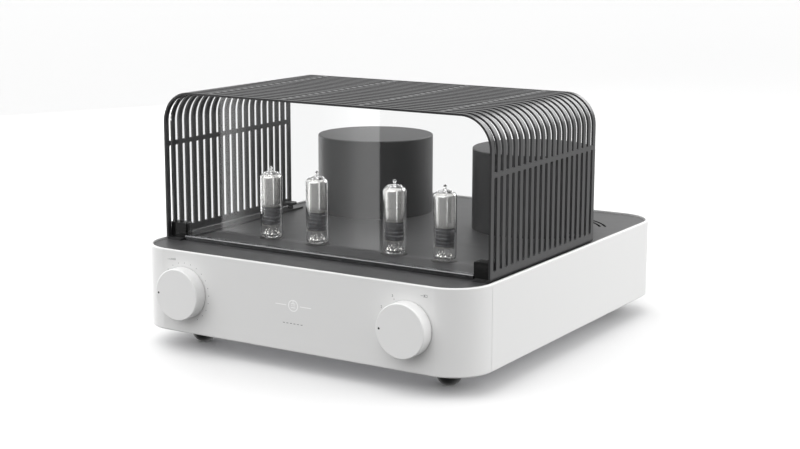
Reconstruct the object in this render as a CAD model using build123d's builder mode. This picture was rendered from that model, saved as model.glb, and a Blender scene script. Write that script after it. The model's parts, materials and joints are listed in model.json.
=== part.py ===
"""Stereo tube amplifier: white wrap-round casing, dark deck, four noval tubes, two
transformer cans and a slotted bent-sheet cage with a clear front pane.

Millimetres, +Z up. X is across the front, -Y is the front, and the origin is on the
supporting surface under the centre of the casing.
"""
import os
from math import acos, cos, degrees, radians, sin, sqrt

from build123d import *

os.makedirs("parts", exist_ok=True)

# ---- driving dimensions -------------------------------------------------------------
# casing
CASE_WIDTH = 340.0
CASE_DEPTH = 371.0
CASE_HEIGHT = 72.3
CASE_RADIUS = 35.0  # vertical corners
WALL = 2.5
RIM_CHAMFER = 0.8
SEAM_GAP = 0.2
FIT_GAP = 0.3  # deck and base plate inside the walls
FOOT_HEIGHT = 18.2
DECK_RECESS = 1.5
DECK_THICKNESS = 3.0
BASE_THICKNESS = 2.0
BASE_RECESS = 0.8

# controls
KNOB_OFFSET = 113.0
KNOB_RADIUS = 22.6
KNOB_DEPTH = 12.3  # face of the knob in front of the fascia
KNOB_GAP = 0.6
SHAFT_RADIUS = 3.0
BUSHING_RADIUS = 4.6
MARKER_RADIUS = 0.9
MARKER_INSET = 19.2  # from the knob's axis

# tubes
TUBE_OUTER = 90.4
TUBE_INNER = 40.4
TUBE_ROW_Y = -88.0
GLASS_RADIUS = 10.0
GLASS_HEIGHT = 65.0  # deck to the sealed tip
PIN_CIRCLE = 5.945
PIN_RADIUS = 0.508
PIN_LENGTH = 7.0
PIN_STEP = 36.0  # nine of ten places round the circle

# transformer cans
CAN_OFFSET = 86.9
CAN_Y = 80.0
CAN_RADIUS = 56.4
CAN_HEIGHT = 75.3
CAN_WALL = 1.5

# cage
CAGE_HALF_WIDTH = 165.4
CAGE_TOP = 204.2 + FOOT_HEIGHT
CAGE_FRONT = -146.3
CAGE_BEND = 28.0
CAGE_SHEET = 1.8
FLANGE_INNER = 149.5
BAR_COUNT = 20
BAR_WIDTH = 5.0
SLOT_WIDTH = 4.75
CROSSBAR_WIDTH = 4.0
TOP_CROSSBARS = (39.0, 117.0)  # either side of the middle
SIDE_CROSSBAR_Z = 157.0 + FOOT_HEIGHT
SLOT_BOTTOM_Z = 79.7 + FOOT_HEIGHT
SLOT_CORNER = 1.2

# front pane and its holders
PANE_THICKNESS = 3.0
CLAMP_WIDTH = 16.0
CLAMP_HEIGHT = 15.4
CLAMP_DEPTH = 11.0
SILL_HEIGHT = 4.2
SILL_DEPTH = 8.0

# rear
WINDOW_WIDTH = 256.0
WINDOW_HEIGHT = 50.0
PANEL_INSET = 8.0
POST_PITCH = 19.05  # banana pair
BANANA_RADIUS = 2.05

# ---- derived places -----------------------------------------------------------------
SHELL_BOTTOM = FOOT_HEIGHT
SHELL_TOP = SHELL_BOTTOM + CASE_HEIGHT
DECK_TOP = SHELL_TOP - DECK_RECESS
DECK_BOTTOM = DECK_TOP - DECK_THICKNESS
BASE_BOTTOM = SHELL_BOTTOM + BASE_RECESS
BASE_TOP = BASE_BOTTOM + BASE_THICKNESS
FRONT_Y = -CASE_DEPTH / 2
REAR_Y = CASE_DEPTH / 2
SEAM_Y = FRONT_Y + CASE_RADIUS
KNOB_Z = SHELL_BOTTOM + CASE_HEIGHT / 2
PITCH = BAR_WIDTH + SLOT_WIDTH
CAGE_DEPTH = BAR_COUNT * BAR_WIDTH + (BAR_COUNT - 1) * SLOT_WIDTH
CAGE_REAR = CAGE_FRONT + CAGE_DEPTH
CAGE_BOTTOM = DECK_TOP + 0.1
PANE_FRONT = CAGE_FRONT + BAR_WIDTH + 1.4
CLAMP_FRONT = CAGE_FRONT + BAR_WIDTH
CAGE_INNER = CAGE_HALF_WIDTH - CAGE_SHEET
PANEL_Y = REAR_Y - PANEL_INSET
PANEL_Z = KNOB_Z
TUBE_PLACES = [(x, TUBE_ROW_Y) for x in (-TUBE_OUTER, -TUBE_INNER, TUBE_INNER, TUBE_OUTER)]
CAN_PLACES = {"left": -CAN_OFFSET, "right": CAN_OFFSET}
SIDES = {"left": -1, "right": 1}


def save(part, label):
    """Name a finished piece and write it as its own STEP file."""
    part.label = label
    export_step(part, f"parts/{label}.step")


# ---- casing -------------------------------------------------------------------------
def casing_part(front):
    """The white wall as a rounded ring, cut at the seam; the front or the rear share."""
    with BuildPart() as wall:
        with BuildSketch(Plane.XY.offset(SHELL_BOTTOM)):
            RectangleRounded(CASE_WIDTH, CASE_DEPTH, CASE_RADIUS)
            RectangleRounded(
                CASE_WIDTH - 2 * WALL, CASE_DEPTH - 2 * WALL, CASE_RADIUS - WALL, mode=Mode.SUBTRACT
            )
        extrude(amount=CASE_HEIGHT)
        rims = wall.faces().filter_by(Plane.XY)
        rim_edges = [e for face in rims for e in face.outer_wire().edges()]
        chamfer(rim_edges, RIM_CHAMFER)
        share = CASE_RADIUS if front else CASE_DEPTH - CASE_RADIUS
        centre_y = FRONT_Y + share / 2 if front else REAR_Y - share / 2
        with BuildSketch(Plane.XY.offset(SHELL_BOTTOM)):
            with Locations((0, centre_y)):
                Rectangle(CASE_WIDTH, share - SEAM_GAP)
        extrude(amount=CASE_HEIGHT, mode=Mode.INTERSECT)
    return wall


fascia_wall = casing_part(front=True)
with BuildPart() as front_fascia:
    add(fascia_wall.part)
    with BuildSketch(Plane.XZ.offset(CASE_DEPTH / 2)):
        with Locations((-KNOB_OFFSET, KNOB_Z), (KNOB_OFFSET, KNOB_Z)):
            Circle(BUSHING_RADIUS + 0.2)
    extrude(amount=-2 * WALL, mode=Mode.SUBTRACT)
save(front_fascia.part, "front_fascia")

wrap_wall = casing_part(front=False)
with BuildPart() as rear_wrap:
    add(wrap_wall.part)
    with BuildSketch(Plane.XZ.offset(-REAR_Y - 1)):
        with Locations((0, PANEL_Z)):
            RectangleRounded(WINDOW_WIDTH, WINDOW_HEIGHT, 3)
    extrude(amount=2 * WALL + 1, mode=Mode.SUBTRACT)
save(rear_wrap.part, "rear_wrap")

PLATE_WIDTH = CASE_WIDTH - 2 * (WALL + FIT_GAP)
PLATE_DEPTH = CASE_DEPTH - 2 * (WALL + FIT_GAP)
PLATE_RADIUS = CASE_RADIUS - WALL - FIT_GAP
SOCKET_HOLE = 11.4
BOLT_HOLE = 3.2
THUMB_X = 154.0
THUMB_Y = 29.0
THUMB_SHANK = 2.0
THUMB_FIT = 0.05
VENT_RADII = (63.2, 68.2)
VENT_WIDTH = 2.4
VENT_START = 34.0
VENT_SWEEP = 50.0
FOOT_X = 127.0
FOOT_Y = 143.0
FOOT_SCREW = 2.1

with BuildPart() as top_plate:
    with BuildSketch(Plane.XY.offset(DECK_BOTTOM)):
        RectangleRounded(PLATE_WIDTH, PLATE_DEPTH, PLATE_RADIUS)
        with Locations(*TUBE_PLACES):
            Circle(SOCKET_HOLE, mode=Mode.SUBTRACT)
        with Locations(*[(x, CAN_Y) for x in CAN_PLACES.values()]):
            Circle(BOLT_HOLE, mode=Mode.SUBTRACT)
            with PolarLocations(CAN_RADIUS - 14, 2):
                Circle(4, mode=Mode.SUBTRACT)
        with Locations((-THUMB_X, THUMB_Y), (THUMB_X, THUMB_Y)):
            Circle(THUMB_SHANK + THUMB_FIT, mode=Mode.SUBTRACT)
        for can_x in CAN_PLACES.values():
            for radius in VENT_RADII:
                for start in (VENT_START, 180 - VENT_START - VENT_SWEEP):
                    with BuildLine(mode=Mode.PRIVATE) as vent:
                        CenterArc((can_x, CAN_Y), radius, start, VENT_SWEEP)
                    SlotArc(vent.edge(), VENT_WIDTH, mode=Mode.SUBTRACT)
    extrude(amount=DECK_THICKNESS)
    chamfer(top_plate.faces().sort_by(Axis.Z)[-1].outer_wire().edges(), 0.3)
save(top_plate.part, "top_plate")

CORNER_POST_X = 152.0
CORNER_POST_Y = 150.0
SCREW_RADIUS = 1.5
SCREW_HEAD = 2.9
BOARD_HOLES = [(x, y) for x in (-112.0, 112.0) for y in (-150.0, -30.0)]
with BuildPart() as base_plate:
    with BuildSketch(Plane.XY.offset(BASE_BOTTOM)):
        RectangleRounded(PLATE_WIDTH, PLATE_DEPTH, PLATE_RADIUS)
        for bank_y in (-60.0, 60.0):
            with Locations((0, bank_y)):
                with GridLocations(9, 0, 21, 1):
                    SlotOverall(60, 3.2, rotation=90, mode=Mode.SUBTRACT)
        with GridLocations(2 * FOOT_X, 2 * FOOT_Y, 2, 2):
            Circle(FOOT_SCREW, mode=Mode.SUBTRACT)
        with GridLocations(2 * CORNER_POST_X, 2 * CORNER_POST_Y, 2, 2):
            Circle(SCREW_RADIUS + 0.1, mode=Mode.SUBTRACT)
    extrude(amount=BASE_THICKNESS)
save(base_plate.part, "base_plate")

with BuildPart() as corner_posts:
    with BuildSketch(Plane.XY.offset(BASE_TOP)):
        with GridLocations(2 * CORNER_POST_X, 2 * CORNER_POST_Y, 2, 2):
            RectangleRounded(10, 10, 1)
            Circle(SCREW_RADIUS, mode=Mode.SUBTRACT)
    extrude(amount=DECK_BOTTOM - BASE_TOP)
save(corner_posts.part, "corner_posts")

with BuildPart() as case_screws:
    with BuildSketch(Plane.XY.offset(BASE_BOTTOM)):
        with GridLocations(2 * CORNER_POST_X, 2 * CORNER_POST_Y, 2, 2):
            Circle(SCREW_RADIUS)
    extrude(amount=10)
    with BuildSketch(Plane.XY.offset(BASE_BOTTOM)):
        with GridLocations(2 * CORNER_POST_X, 2 * CORNER_POST_Y, 2, 2):
            Circle(SCREW_HEAD)
            RegularPolygon(1.3, 6, mode=Mode.SUBTRACT)
    extrude(amount=-1.6)
save(case_screws.part, "case_screws")

# ---- feet ---------------------------------------------------------------------------
BALL_RADIUS = 11.0
BALL_CENTRE = 9.9
FOOT_FLAT = sqrt(BALL_RADIUS**2 - BALL_CENTRE**2)
BALL_ANGLE = degrees(acos(BALL_CENTRE / BALL_RADIUS))


def foot(x, y):
    """Rubber ball foot: a flattened ball that runs into a short cylinder and a stud."""
    with BuildPart() as rubber:
        with BuildSketch(Plane.XZ.offset(-y)):
            with BuildLine():
                start = (x + FOOT_FLAT, 0)
                equator = (x + BALL_RADIUS, BALL_CENTRE)
                Line((x, 0), start)
                middle = radians(-90 + (90 + BALL_ANGLE) / 2)
                ThreePointArc(
                    start,
                    (x + BALL_RADIUS * cos(middle), BALL_CENTRE + BALL_RADIUS * sin(middle)),
                    equator,
                )
                Polyline(
                    equator,
                    (x + BALL_RADIUS, BASE_BOTTOM),
                    (x + FOOT_SCREW, BASE_BOTTOM),
                    (x + FOOT_SCREW, BASE_TOP + 3),
                    (x, BASE_TOP + 3),
                    (x, 0),
                )
            make_face()
        revolve(axis=Axis((x, y, 0), (0, 0, 1)))
    return rubber.part


for row, row_sign in (("front", -1), ("rear", 1)):
    for side, sign in SIDES.items():
        save(foot(sign * FOOT_X, row_sign * FOOT_Y), f"foot_{row}_{side}")

# ---- knobs and what they turn -------------------------------------------------------
SKIRT = 2.6
HUB_RADIUS = 7.0
KNOB_CHAMFER = 0.7
NUT_ROOM = 3.5  # the hub stops short of the nut and bushing
SHAFT_REACH = 9.0  # into the knob's hub
SHAFT_TAIL = 6.0  # behind the fascia's inner face
CONTROL_BODY = {"volume_pot": (12.5, 22.0), "source_switch": (13.5, 26.0)}
KNOB_FRONT = FRONT_Y - KNOB_DEPTH
KNOB_BACK = FRONT_Y - KNOB_GAP
FASCIA_BACK = FRONT_Y + WALL


def knob(x):
    """Turned disc with a hollow back, a hub with a blind bore and a pocket for its marker."""
    with BuildPart() as disc:
        with BuildSketch(Plane.XZ.offset(-KNOB_BACK)):
            with Locations((x, KNOB_Z)):
                Circle(KNOB_RADIUS)
        extrude(amount=KNOB_BACK - KNOB_FRONT)
        front_edges = disc.faces().sort_by(Axis.Y)[0].edges()
        chamfer(front_edges, KNOB_CHAMFER)
        with BuildSketch(Plane.XZ.offset(-KNOB_BACK)):
            with Locations((x, KNOB_Z)):
                Circle(KNOB_RADIUS - SKIRT)
                Circle(HUB_RADIUS, mode=Mode.SUBTRACT)
        extrude(amount=KNOB_BACK - KNOB_FRONT - 3, mode=Mode.SUBTRACT)
        with BuildSketch(Plane.XZ.offset(-KNOB_BACK)):
            with Locations((x, KNOB_Z)):
                Circle(KNOB_RADIUS - SKIRT)
        extrude(amount=NUT_ROOM, mode=Mode.SUBTRACT)
        with BuildSketch(Plane.XZ.offset(-KNOB_BACK)):
            with Locations((x, KNOB_Z)):
                Circle(SHAFT_RADIUS)
        extrude(amount=SHAFT_REACH, mode=Mode.SUBTRACT)
        with BuildSketch(Plane.XZ.offset(-KNOB_FRONT)):
            with Locations((x - MARKER_INSET, KNOB_Z)):
                Circle(MARKER_RADIUS)
        extrude(amount=-0.8, mode=Mode.SUBTRACT)
    return disc.part


def y_disc(x, z, radius, near_y, far_y):
    """Solid round bar along Y between two places."""
    with BuildPart() as bar:
        with BuildSketch(Plane.XZ.offset(-near_y)):
            with Locations((x, z)):
                Circle(radius)
        extrude(amount=near_y - far_y)
    return bar.part


def control_body(x, radius, depth):
    """Body and threaded bushing of a rotary control, with a running bore for its shaft."""
    with BuildPart() as body:
        with BuildSketch(Plane.XZ.offset(-FASCIA_BACK)):
            with Locations((x, KNOB_Z)):
                Circle(radius)
        extrude(amount=-depth)
        with BuildSketch(Plane.XZ.offset(-FASCIA_BACK)):
            with Locations((x, KNOB_Z)):
                Circle(BUSHING_RADIUS)
        extrude(amount=WALL + 3.2)
        with BuildSketch(Plane.XZ.offset(-FRONT_Y + 6)):
            with Locations((x, KNOB_Z)):
                Circle(SHAFT_RADIUS + 0.06)
        extrude(amount=-(WALL + 6 + SHAFT_TAIL + 0.5), mode=Mode.SUBTRACT)
        with BuildSketch(Plane.YZ.offset(x)):
            for terminal_y in (6.0, 11.0, 16.0):
                with Locations((FASCIA_BACK + terminal_y, KNOB_Z - radius - 2)):
                    Rectangle(1.2, 6)
        extrude(amount=1.5, both=True)
    return body.part


for control, knob_x, body_name in (
    ("volume", -KNOB_OFFSET, "volume_pot"),
    ("source", KNOB_OFFSET, "source_switch"),
):
    save(knob(knob_x), f"{control}_knob")
    marker_x = knob_x - MARKER_INSET
    save(y_disc(marker_x, KNOB_Z, MARKER_RADIUS, KNOB_FRONT + 0.8, KNOB_FRONT), f"{control}_marker")
    shaft_front = KNOB_BACK - SHAFT_REACH
    save(y_disc(knob_x, KNOB_Z, SHAFT_RADIUS, FASCIA_BACK + SHAFT_TAIL, shaft_front), f"{control}_shaft")
    save(control_body(knob_x, *CONTROL_BODY[body_name]), body_name)

with BuildPart() as control_nuts:
    with BuildSketch(Plane.XZ.offset(-FRONT_Y)):
        with Locations((-KNOB_OFFSET, KNOB_Z), (KNOB_OFFSET, KNOB_Z)):
            RegularPolygon(7.0, 6)
            Circle(BUSHING_RADIUS + 0.02, mode=Mode.SUBTRACT)
    extrude(amount=2.0)
save(control_nuts.part, "control_nuts")

# ---- cage: one bent, slotted sheet --------------------------------------------------
with BuildPart() as cage:
    with BuildSketch(Plane.XZ.offset(-CAGE_FRONT)):
        with BuildLine() as cage_line:
            FilletPolyline(
                (-FLANGE_INNER, CAGE_BOTTOM),
                (-CAGE_HALF_WIDTH, CAGE_BOTTOM),
                (-CAGE_HALF_WIDTH, CAGE_TOP),
                (CAGE_HALF_WIDTH, CAGE_TOP),
                (CAGE_HALF_WIDTH, CAGE_BOTTOM),
                (FLANGE_INNER, CAGE_BOTTOM),
                radius=[3.0, CAGE_BEND, CAGE_BEND, 3.0],
            )
            offset(amount=CAGE_SHEET, side=Side.RIGHT)
        make_face()
    extrude(amount=-CAGE_DEPTH)

    # every gap between two bars is cut in seven lengths, which leaves the crossbars
    half_bar = CROSSBAR_WIDTH / 2
    inner_bar, outer_bar = TOP_CROSSBARS
    top_middle = (inner_bar - half_bar) * 2
    top_outer = outer_bar - inner_bar - CROSSBAR_WIDTH
    cut = 12.0  # taller than the sheet is thick, and clear of everything else
    slot_ys = [CAGE_FRONT + BAR_WIDTH + SLOT_WIDTH / 2 + PITCH * i for i in range(BAR_COUNT - 1)]
    with BuildSketch(Plane.XY.offset(CAGE_TOP - cut / 2)):
        for slot_y in slot_ys:
            with Locations((0, slot_y)):
                RectangleRounded(top_middle, SLOT_WIDTH, SLOT_CORNER)
            outer_centre = (inner_bar + outer_bar) / 2
            with Locations((-outer_centre, slot_y), (outer_centre, slot_y)):
                RectangleRounded(top_outer, SLOT_WIDTH, SLOT_CORNER)
    extrude(amount=cut, mode=Mode.SUBTRACT)

    lower_length = SIDE_CROSSBAR_Z - half_bar - SLOT_BOTTOM_Z
    lower_centre = SLOT_BOTTOM_Z + lower_length / 2
    with BuildSketch(Plane.YZ.offset(-CAGE_HALF_WIDTH - 1)):
        for slot_y in slot_ys:
            with Locations((slot_y, lower_centre)):
                RectangleRounded(SLOT_WIDTH, lower_length, SLOT_CORNER)
    extrude(amount=2 * CAGE_HALF_WIDTH + 2, mode=Mode.SUBTRACT)

    # the lengths that run round the bends are cut along Y, from a band of the section
    for slot_y in slot_ys:
        with BuildSketch(Plane.XZ.offset(-slot_y)):
            for sign in SIDES.values():
                with BuildLine():
                    Polyline(
                        (sign * (outer_bar + half_bar), CAGE_TOP - cut / 2),
                        (sign * (outer_bar + half_bar), CAGE_TOP + 1),
                        (sign * (CAGE_HALF_WIDTH + 1), CAGE_TOP + 1),
                        (sign * (CAGE_HALF_WIDTH + 1), SIDE_CROSSBAR_Z + half_bar),
                        (sign * (CAGE_HALF_WIDTH - cut / 2), SIDE_CROSSBAR_Z + half_bar),
                        (sign * (outer_bar + half_bar), CAGE_TOP - cut / 2),
                    )
                make_face()
        extrude(amount=SLOT_WIDTH / 2, both=True, mode=Mode.SUBTRACT)

    with BuildSketch(Plane.XY.offset(CAGE_BOTTOM - 1)):
        with Locations((-THUMB_X, THUMB_Y), (THUMB_X, THUMB_Y)):
            Circle(THUMB_SHANK + THUMB_FIT)
    extrude(amount=CAGE_SHEET + 2, mode=Mode.SUBTRACT)
save(cage.part, "cage")

# ---- pane, sill, clamps, thumbscrews ------------------------------------------------
PANE_GAP = 0.2
PANE_BOTTOM = CAGE_BOTTOM + 3.1
PANE_HALF = CAGE_INNER - PANE_GAP
PANE_TOP = CAGE_TOP - CAGE_SHEET - PANE_GAP
PANE_CORNER = CAGE_BEND - CAGE_SHEET - PANE_GAP

with BuildPart() as glass_pane:
    with BuildSketch(Plane.XZ.offset(-PANE_FRONT)):
        with BuildLine():
            FilletPolyline(
                (-PANE_HALF, PANE_BOTTOM),
                (-PANE_HALF, PANE_TOP),
                (PANE_HALF, PANE_TOP),
                (PANE_HALF, PANE_BOTTOM),
                radius=PANE_CORNER,
            )
            Line((PANE_HALF, PANE_BOTTOM), (-PANE_HALF, PANE_BOTTOM))
        make_face()
    extrude(amount=-PANE_THICKNESS)
save(glass_pane.part, "glass_pane")

PANE_SLOT = PANE_THICKNESS + 0.2
SILL_FRONT = PANE_FRONT + PANE_THICKNESS / 2 - SILL_DEPTH / 2
SILL_HALF = CAGE_INNER - CLAMP_WIDTH
with BuildPart() as pane_sill:
    with BuildSketch(Plane.YZ.offset(-SILL_HALF)):
        with Locations((PANE_FRONT + PANE_THICKNESS / 2, CAGE_BOTTOM + SILL_HEIGHT / 2)):
            Rectangle(SILL_DEPTH, SILL_HEIGHT)
        slot_height = CAGE_BOTTOM + SILL_HEIGHT - PANE_BOTTOM
        with Locations((PANE_FRONT + PANE_THICKNESS / 2, PANE_BOTTOM + slot_height / 2)):
            Rectangle(PANE_SLOT, slot_height, mode=Mode.SUBTRACT)
    extrude(amount=2 * SILL_HALF)
    top_edges = pane_sill.edges().filter_by(Axis.X).filter_by(
        lambda e: e.center().Z > DECK_TOP + SILL_HEIGHT - 0.5
    )
    outside = top_edges.sort_by(Axis.Y)
    chamfer([outside[0], outside[-1]], 0.6)
save(pane_sill.part, "pane_sill")


def pane_clamp(sign):
    """Corner block on the cage's flange, with an upright slot that takes the pane's edge."""
    centre_x = sign * (CAGE_INNER - CLAMP_WIDTH / 2)
    foot_z = CAGE_BOTTOM + CAGE_SHEET
    with BuildPart() as block:
        with BuildSketch(Plane.XZ.offset(-CLAMP_FRONT)):
            with Locations((centre_x, foot_z + (CLAMP_HEIGHT - CAGE_SHEET) / 2)):
                Rectangle(CLAMP_WIDTH - 0.1, CLAMP_HEIGHT - CAGE_SHEET)
        extrude(amount=-CLAMP_DEPTH)
        across = block.edges().filter_by(Axis.Y).sort_by(lambda e: sign * e.center().X)
        fillet(across[:2].sort_by(Axis.Z)[-1], 1.2)
        across = block.edges().filter_by(Axis.Y).sort_by(lambda e: sign * e.center().X)
        chamfer(across[-2:].sort_by(Axis.Z)[0], 1.4)
        with BuildSketch(Plane.XY.offset(PANE_BOTTOM - 0.1)):
            with Locations((centre_x, PANE_FRONT + PANE_THICKNESS / 2)):
                Rectangle(CLAMP_WIDTH + 2, PANE_SLOT)
        extrude(amount=CLAMP_HEIGHT, mode=Mode.SUBTRACT)
    return block.part


HEAD_RADIUS = 6.0
HEAD_THICKNESS = 2.2
COLLAR_RADIUS = 2.6
HEAD_TOP = DECK_TOP + 8.2


def thumbscrew(sign):
    """Disc-headed screw: knurled head, collar that bears on the flange, shank in the deck."""
    x = sign * THUMB_X
    with BuildPart() as screw:
        with BuildSketch(Plane.XY.offset(DECK_BOTTOM - 2)):
            with Locations((x, THUMB_Y)):
                Circle(THUMB_SHANK)
        extrude(amount=CAGE_BOTTOM + CAGE_SHEET + 1 - DECK_BOTTOM + 2)
        with BuildSketch(Plane.XY.offset(CAGE_BOTTOM + CAGE_SHEET + 0.05)):
            with Locations((x, THUMB_Y)):
                Circle(COLLAR_RADIUS)
        extrude(amount=HEAD_TOP - HEAD_THICKNESS - CAGE_BOTTOM - CAGE_SHEET)
        with BuildSketch(Plane.XY.offset(HEAD_TOP - HEAD_THICKNESS)):
            with Locations((x, THUMB_Y)):
                Circle(HEAD_RADIUS)
                with PolarLocations(HEAD_RADIUS, 24):
                    Circle(0.35, mode=Mode.SUBTRACT)
        extrude(amount=HEAD_THICKNESS)
    return screw.part


for side, sign in SIDES.items():
    save(pane_clamp(sign), f"pane_clamp_{side}")
    save(thumbscrew(sign), f"thumbscrew_{side}")

# ---- tubes and sockets --------------------------------------------------------------
GLASS_WALL = 0.9
GLASS_FOOT = DECK_TOP + 0.5
SHOULDER_Z = DECK_TOP + 54.6
CONE_Z = DECK_TOP + 58.6
NIPPLE_Z = DECK_TOP + 60.2
TIP_Z = DECK_TOP + GLASS_HEIGHT
TIP_RADIUS = 1.7
SOCKET_TOP = DECK_TOP + 0.2
SOCKET_RADIUS = 10.9
SOCKET_HEIGHT = 12.0
BUTTON_HEIGHT = 2.0


def tube_glass(x, y):
    """Blown envelope with a rounded shoulder, a low cone and a sealed tip, on its button."""
    plane = Plane.XZ.offset(-y)
    with BuildPart() as envelope:
        with BuildSketch(plane):
            with BuildLine():
                outer = Polyline(
                    (x + 7.6, GLASS_FOOT),
                    (x + 8.6, GLASS_FOOT + 0.6),
                    (x + GLASS_RADIUS, GLASS_FOOT + 4.5),
                    (x + GLASS_RADIUS, SHOULDER_Z),
                )
                ThreePointArc(
                    outer @ 1, (x + 8.9, SHOULDER_Z + 2.9), (x + 6.0, CONE_Z)
                )
                Polyline(
                    (x + 6.0, CONE_Z),
                    (x + 2.2, NIPPLE_Z),
                    (x + TIP_RADIUS, NIPPLE_Z + 1.0),
                    (x + TIP_RADIUS, TIP_Z - TIP_RADIUS),
                )
                CenterArc((x, TIP_Z - TIP_RADIUS), TIP_RADIUS, 0, 90)
                Polyline(
                    (x, TIP_Z),
                    (x, CONE_Z - 0.6),
                    (x + 5.6, CONE_Z - 1.2),
                    (x + 7.9, SHOULDER_Z + 2.0),
                    (x + GLASS_RADIUS - GLASS_WALL, SHOULDER_Z - 1.0),
                    (x + GLASS_RADIUS - GLASS_WALL, GLASS_FOOT + 4.5),
                    (x + 7.6, GLASS_FOOT + BUTTON_HEIGHT),
                    (x + 7.6, GLASS_FOOT),
                )
            make_face()
        revolve(axis=Axis((x, y, 0), (0, 0, 1)))
    with BuildPart() as button:
        with BuildSketch(Plane.XY.offset(GLASS_FOOT)):
            with Locations((x, y)):
                Circle(7.6)
                with PolarLocations(PIN_CIRCLE, 9, start_angle=PIN_STEP / 2, angular_range=9 * PIN_STEP):
                    Circle(PIN_RADIUS, mode=Mode.SUBTRACT)
        extrude(amount=BUTTON_HEIGHT)
    return Compound(children=[envelope.part, button.part])


def tube_pins(x, y):
    """Nine stiff wires through the button, with a gap of one place."""
    with BuildPart() as pins:
        with BuildSketch(Plane.XY.offset(GLASS_FOOT - PIN_LENGTH)):
            with Locations((x, y)):
                with PolarLocations(PIN_CIRCLE, 9, start_angle=PIN_STEP / 2, angular_range=9 * PIN_STEP):
                    Circle(PIN_RADIUS)
        extrude(amount=PIN_LENGTH + BUTTON_HEIGHT + 1.5)
    return pins.part


def tube_electrodes(x, y):
    """Anode box between two mica discs, its two support rods, and the getter ring on its stem."""
    low_mica = DECK_TOP + 11.4
    high_mica = DECK_TOP + 28.8
    getter = DECK_TOP + 43.6
    with BuildPart() as stack:
        for mica_z in (low_mica, high_mica):
            with BuildSketch(Plane.XY.offset(mica_z)):
                with Locations((x, y)):
                    Circle(8.6)
            extrude(amount=0.4)
        with BuildSketch(Plane.XY.offset(low_mica)):
            with Locations((x, y)):
                RectangleRounded(12.0, 7.0, 2.4)
        extrude(amount=high_mica - low_mica)
        with BuildSketch(Plane.XY.offset(DECK_TOP + 5)):
            with Locations((x - 6.9, y), (x + 6.9, y)):
                Circle(0.5)
        extrude(amount=high_mica - DECK_TOP - 2)
        with BuildSketch(Plane.XY.offset(high_mica)):
            with Locations((x + 2.6, y)):
                Circle(0.35)
        extrude(amount=getter - high_mica)
        with BuildSketch(Plane.XY.offset(getter)):
            with Locations((x, y)):
                Circle(3.0)
                Circle(2.2, mode=Mode.SUBTRACT)
        extrude(amount=0.8)
    return stack.part


for number, (tube_x, tube_y) in enumerate(TUBE_PLACES, start=1):
    save(tube_glass(tube_x, tube_y), f"tube_{number}_glass")
    save(tube_pins(tube_x, tube_y), f"tube_{number}_pins")
    save(tube_electrodes(tube_x, tube_y), f"tube_{number}_electrodes")

with BuildPart() as tube_sockets:
    with BuildSketch(Plane.XY.offset(SOCKET_TOP - SOCKET_HEIGHT)):
        with Locations(*TUBE_PLACES):
            Circle(SOCKET_RADIUS)
            Circle(1.6, mode=Mode.SUBTRACT)
            with PolarLocations(PIN_CIRCLE, 9, start_angle=PIN_STEP / 2, angular_range=9 * PIN_STEP):
                Circle(PIN_RADIUS + 0.09, mode=Mode.SUBTRACT)
    extrude(amount=SOCKET_HEIGHT)
save(tube_sockets.part, "tube_sockets")

# ---- transformer cans and cores -----------------------------------------------------
CORE_OUTER = 50.0
CORE_INNER = 17.0
CORE_HEIGHT = 56.0
CORE_ROUND = 9.0


def can(x):
    """Deep drawn steel cup, mouth down on the deck."""
    with BuildPart() as cup:
        with BuildSketch(Plane.XY.offset(DECK_TOP)):
            with Locations((x, CAN_Y)):
                Circle(CAN_RADIUS)
        extrude(amount=CAN_HEIGHT)
        fillet(cup.edges().sort_by(Axis.Z)[-1], 1.2)
        with BuildSketch(Plane.XY.offset(DECK_TOP)):
            with Locations((x, CAN_Y)):
                Circle(CAN_RADIUS - CAN_WALL)
        extrude(amount=CAN_HEIGHT - CAN_WALL, mode=Mode.SUBTRACT)
    return cup.part


def toroid(x, y, floor_z, outer, inner, height, rounding):
    """Wound ring core, rounded over at its four rims."""
    with BuildPart() as ring:
        with BuildSketch(Plane.XY.offset(floor_z)):
            with Locations((x, y)):
                Circle(outer)
                Circle(inner, mode=Mode.SUBTRACT)
        extrude(amount=height)
        fillet(ring.edges(), rounding)
    return ring.part


for side, can_x in CAN_PLACES.items():
    save(can(can_x), f"can_{side}")
    core = toroid(can_x, CAN_Y, DECK_TOP + 3, CORE_OUTER, CORE_INNER, CORE_HEIGHT, CORE_ROUND)
    save(core, f"output_transformer_{side}")

BOLT_RADIUS = 3.0
with BuildPart() as transformer_bolts:
    can_centres = [(x, CAN_Y) for x in CAN_PLACES.values()]
    with BuildSketch(Plane.XY.offset(DECK_BOTTOM - 10)):
        with Locations(*can_centres):
            Circle(BOLT_RADIUS)
    extrude(amount=DECK_THICKNESS + 10 + 3 + CORE_HEIGHT + 8)
    with BuildSketch(Plane.XY.offset(DECK_TOP + 3 + CORE_HEIGHT)):
        with Locations(*can_centres):
            Circle(26)
            Circle(BOLT_RADIUS - 0.5, mode=Mode.SUBTRACT)
    extrude(amount=2)
    with BuildSketch(Plane.XY.offset(DECK_TOP + 5 + CORE_HEIGHT)):
        with Locations(*can_centres):
            RegularPolygon(6, 6)
    extrude(amount=5)
    with BuildSketch(Plane.XY.offset(DECK_BOTTOM - 5)):
        with Locations(*can_centres):
            RegularPolygon(6, 6)
    extrude(amount=5)
save(transformer_bolts.part, "transformer_bolts")

# ---- inside the casing --------------------------------------------------------------
MAINS_X = 0.0
MAINS_Y = 88.0
save(toroid(MAINS_X, MAINS_Y, BASE_TOP + 1, 55.0, 16.0, 42.0, 8.0), "mains_transformer")

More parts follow.
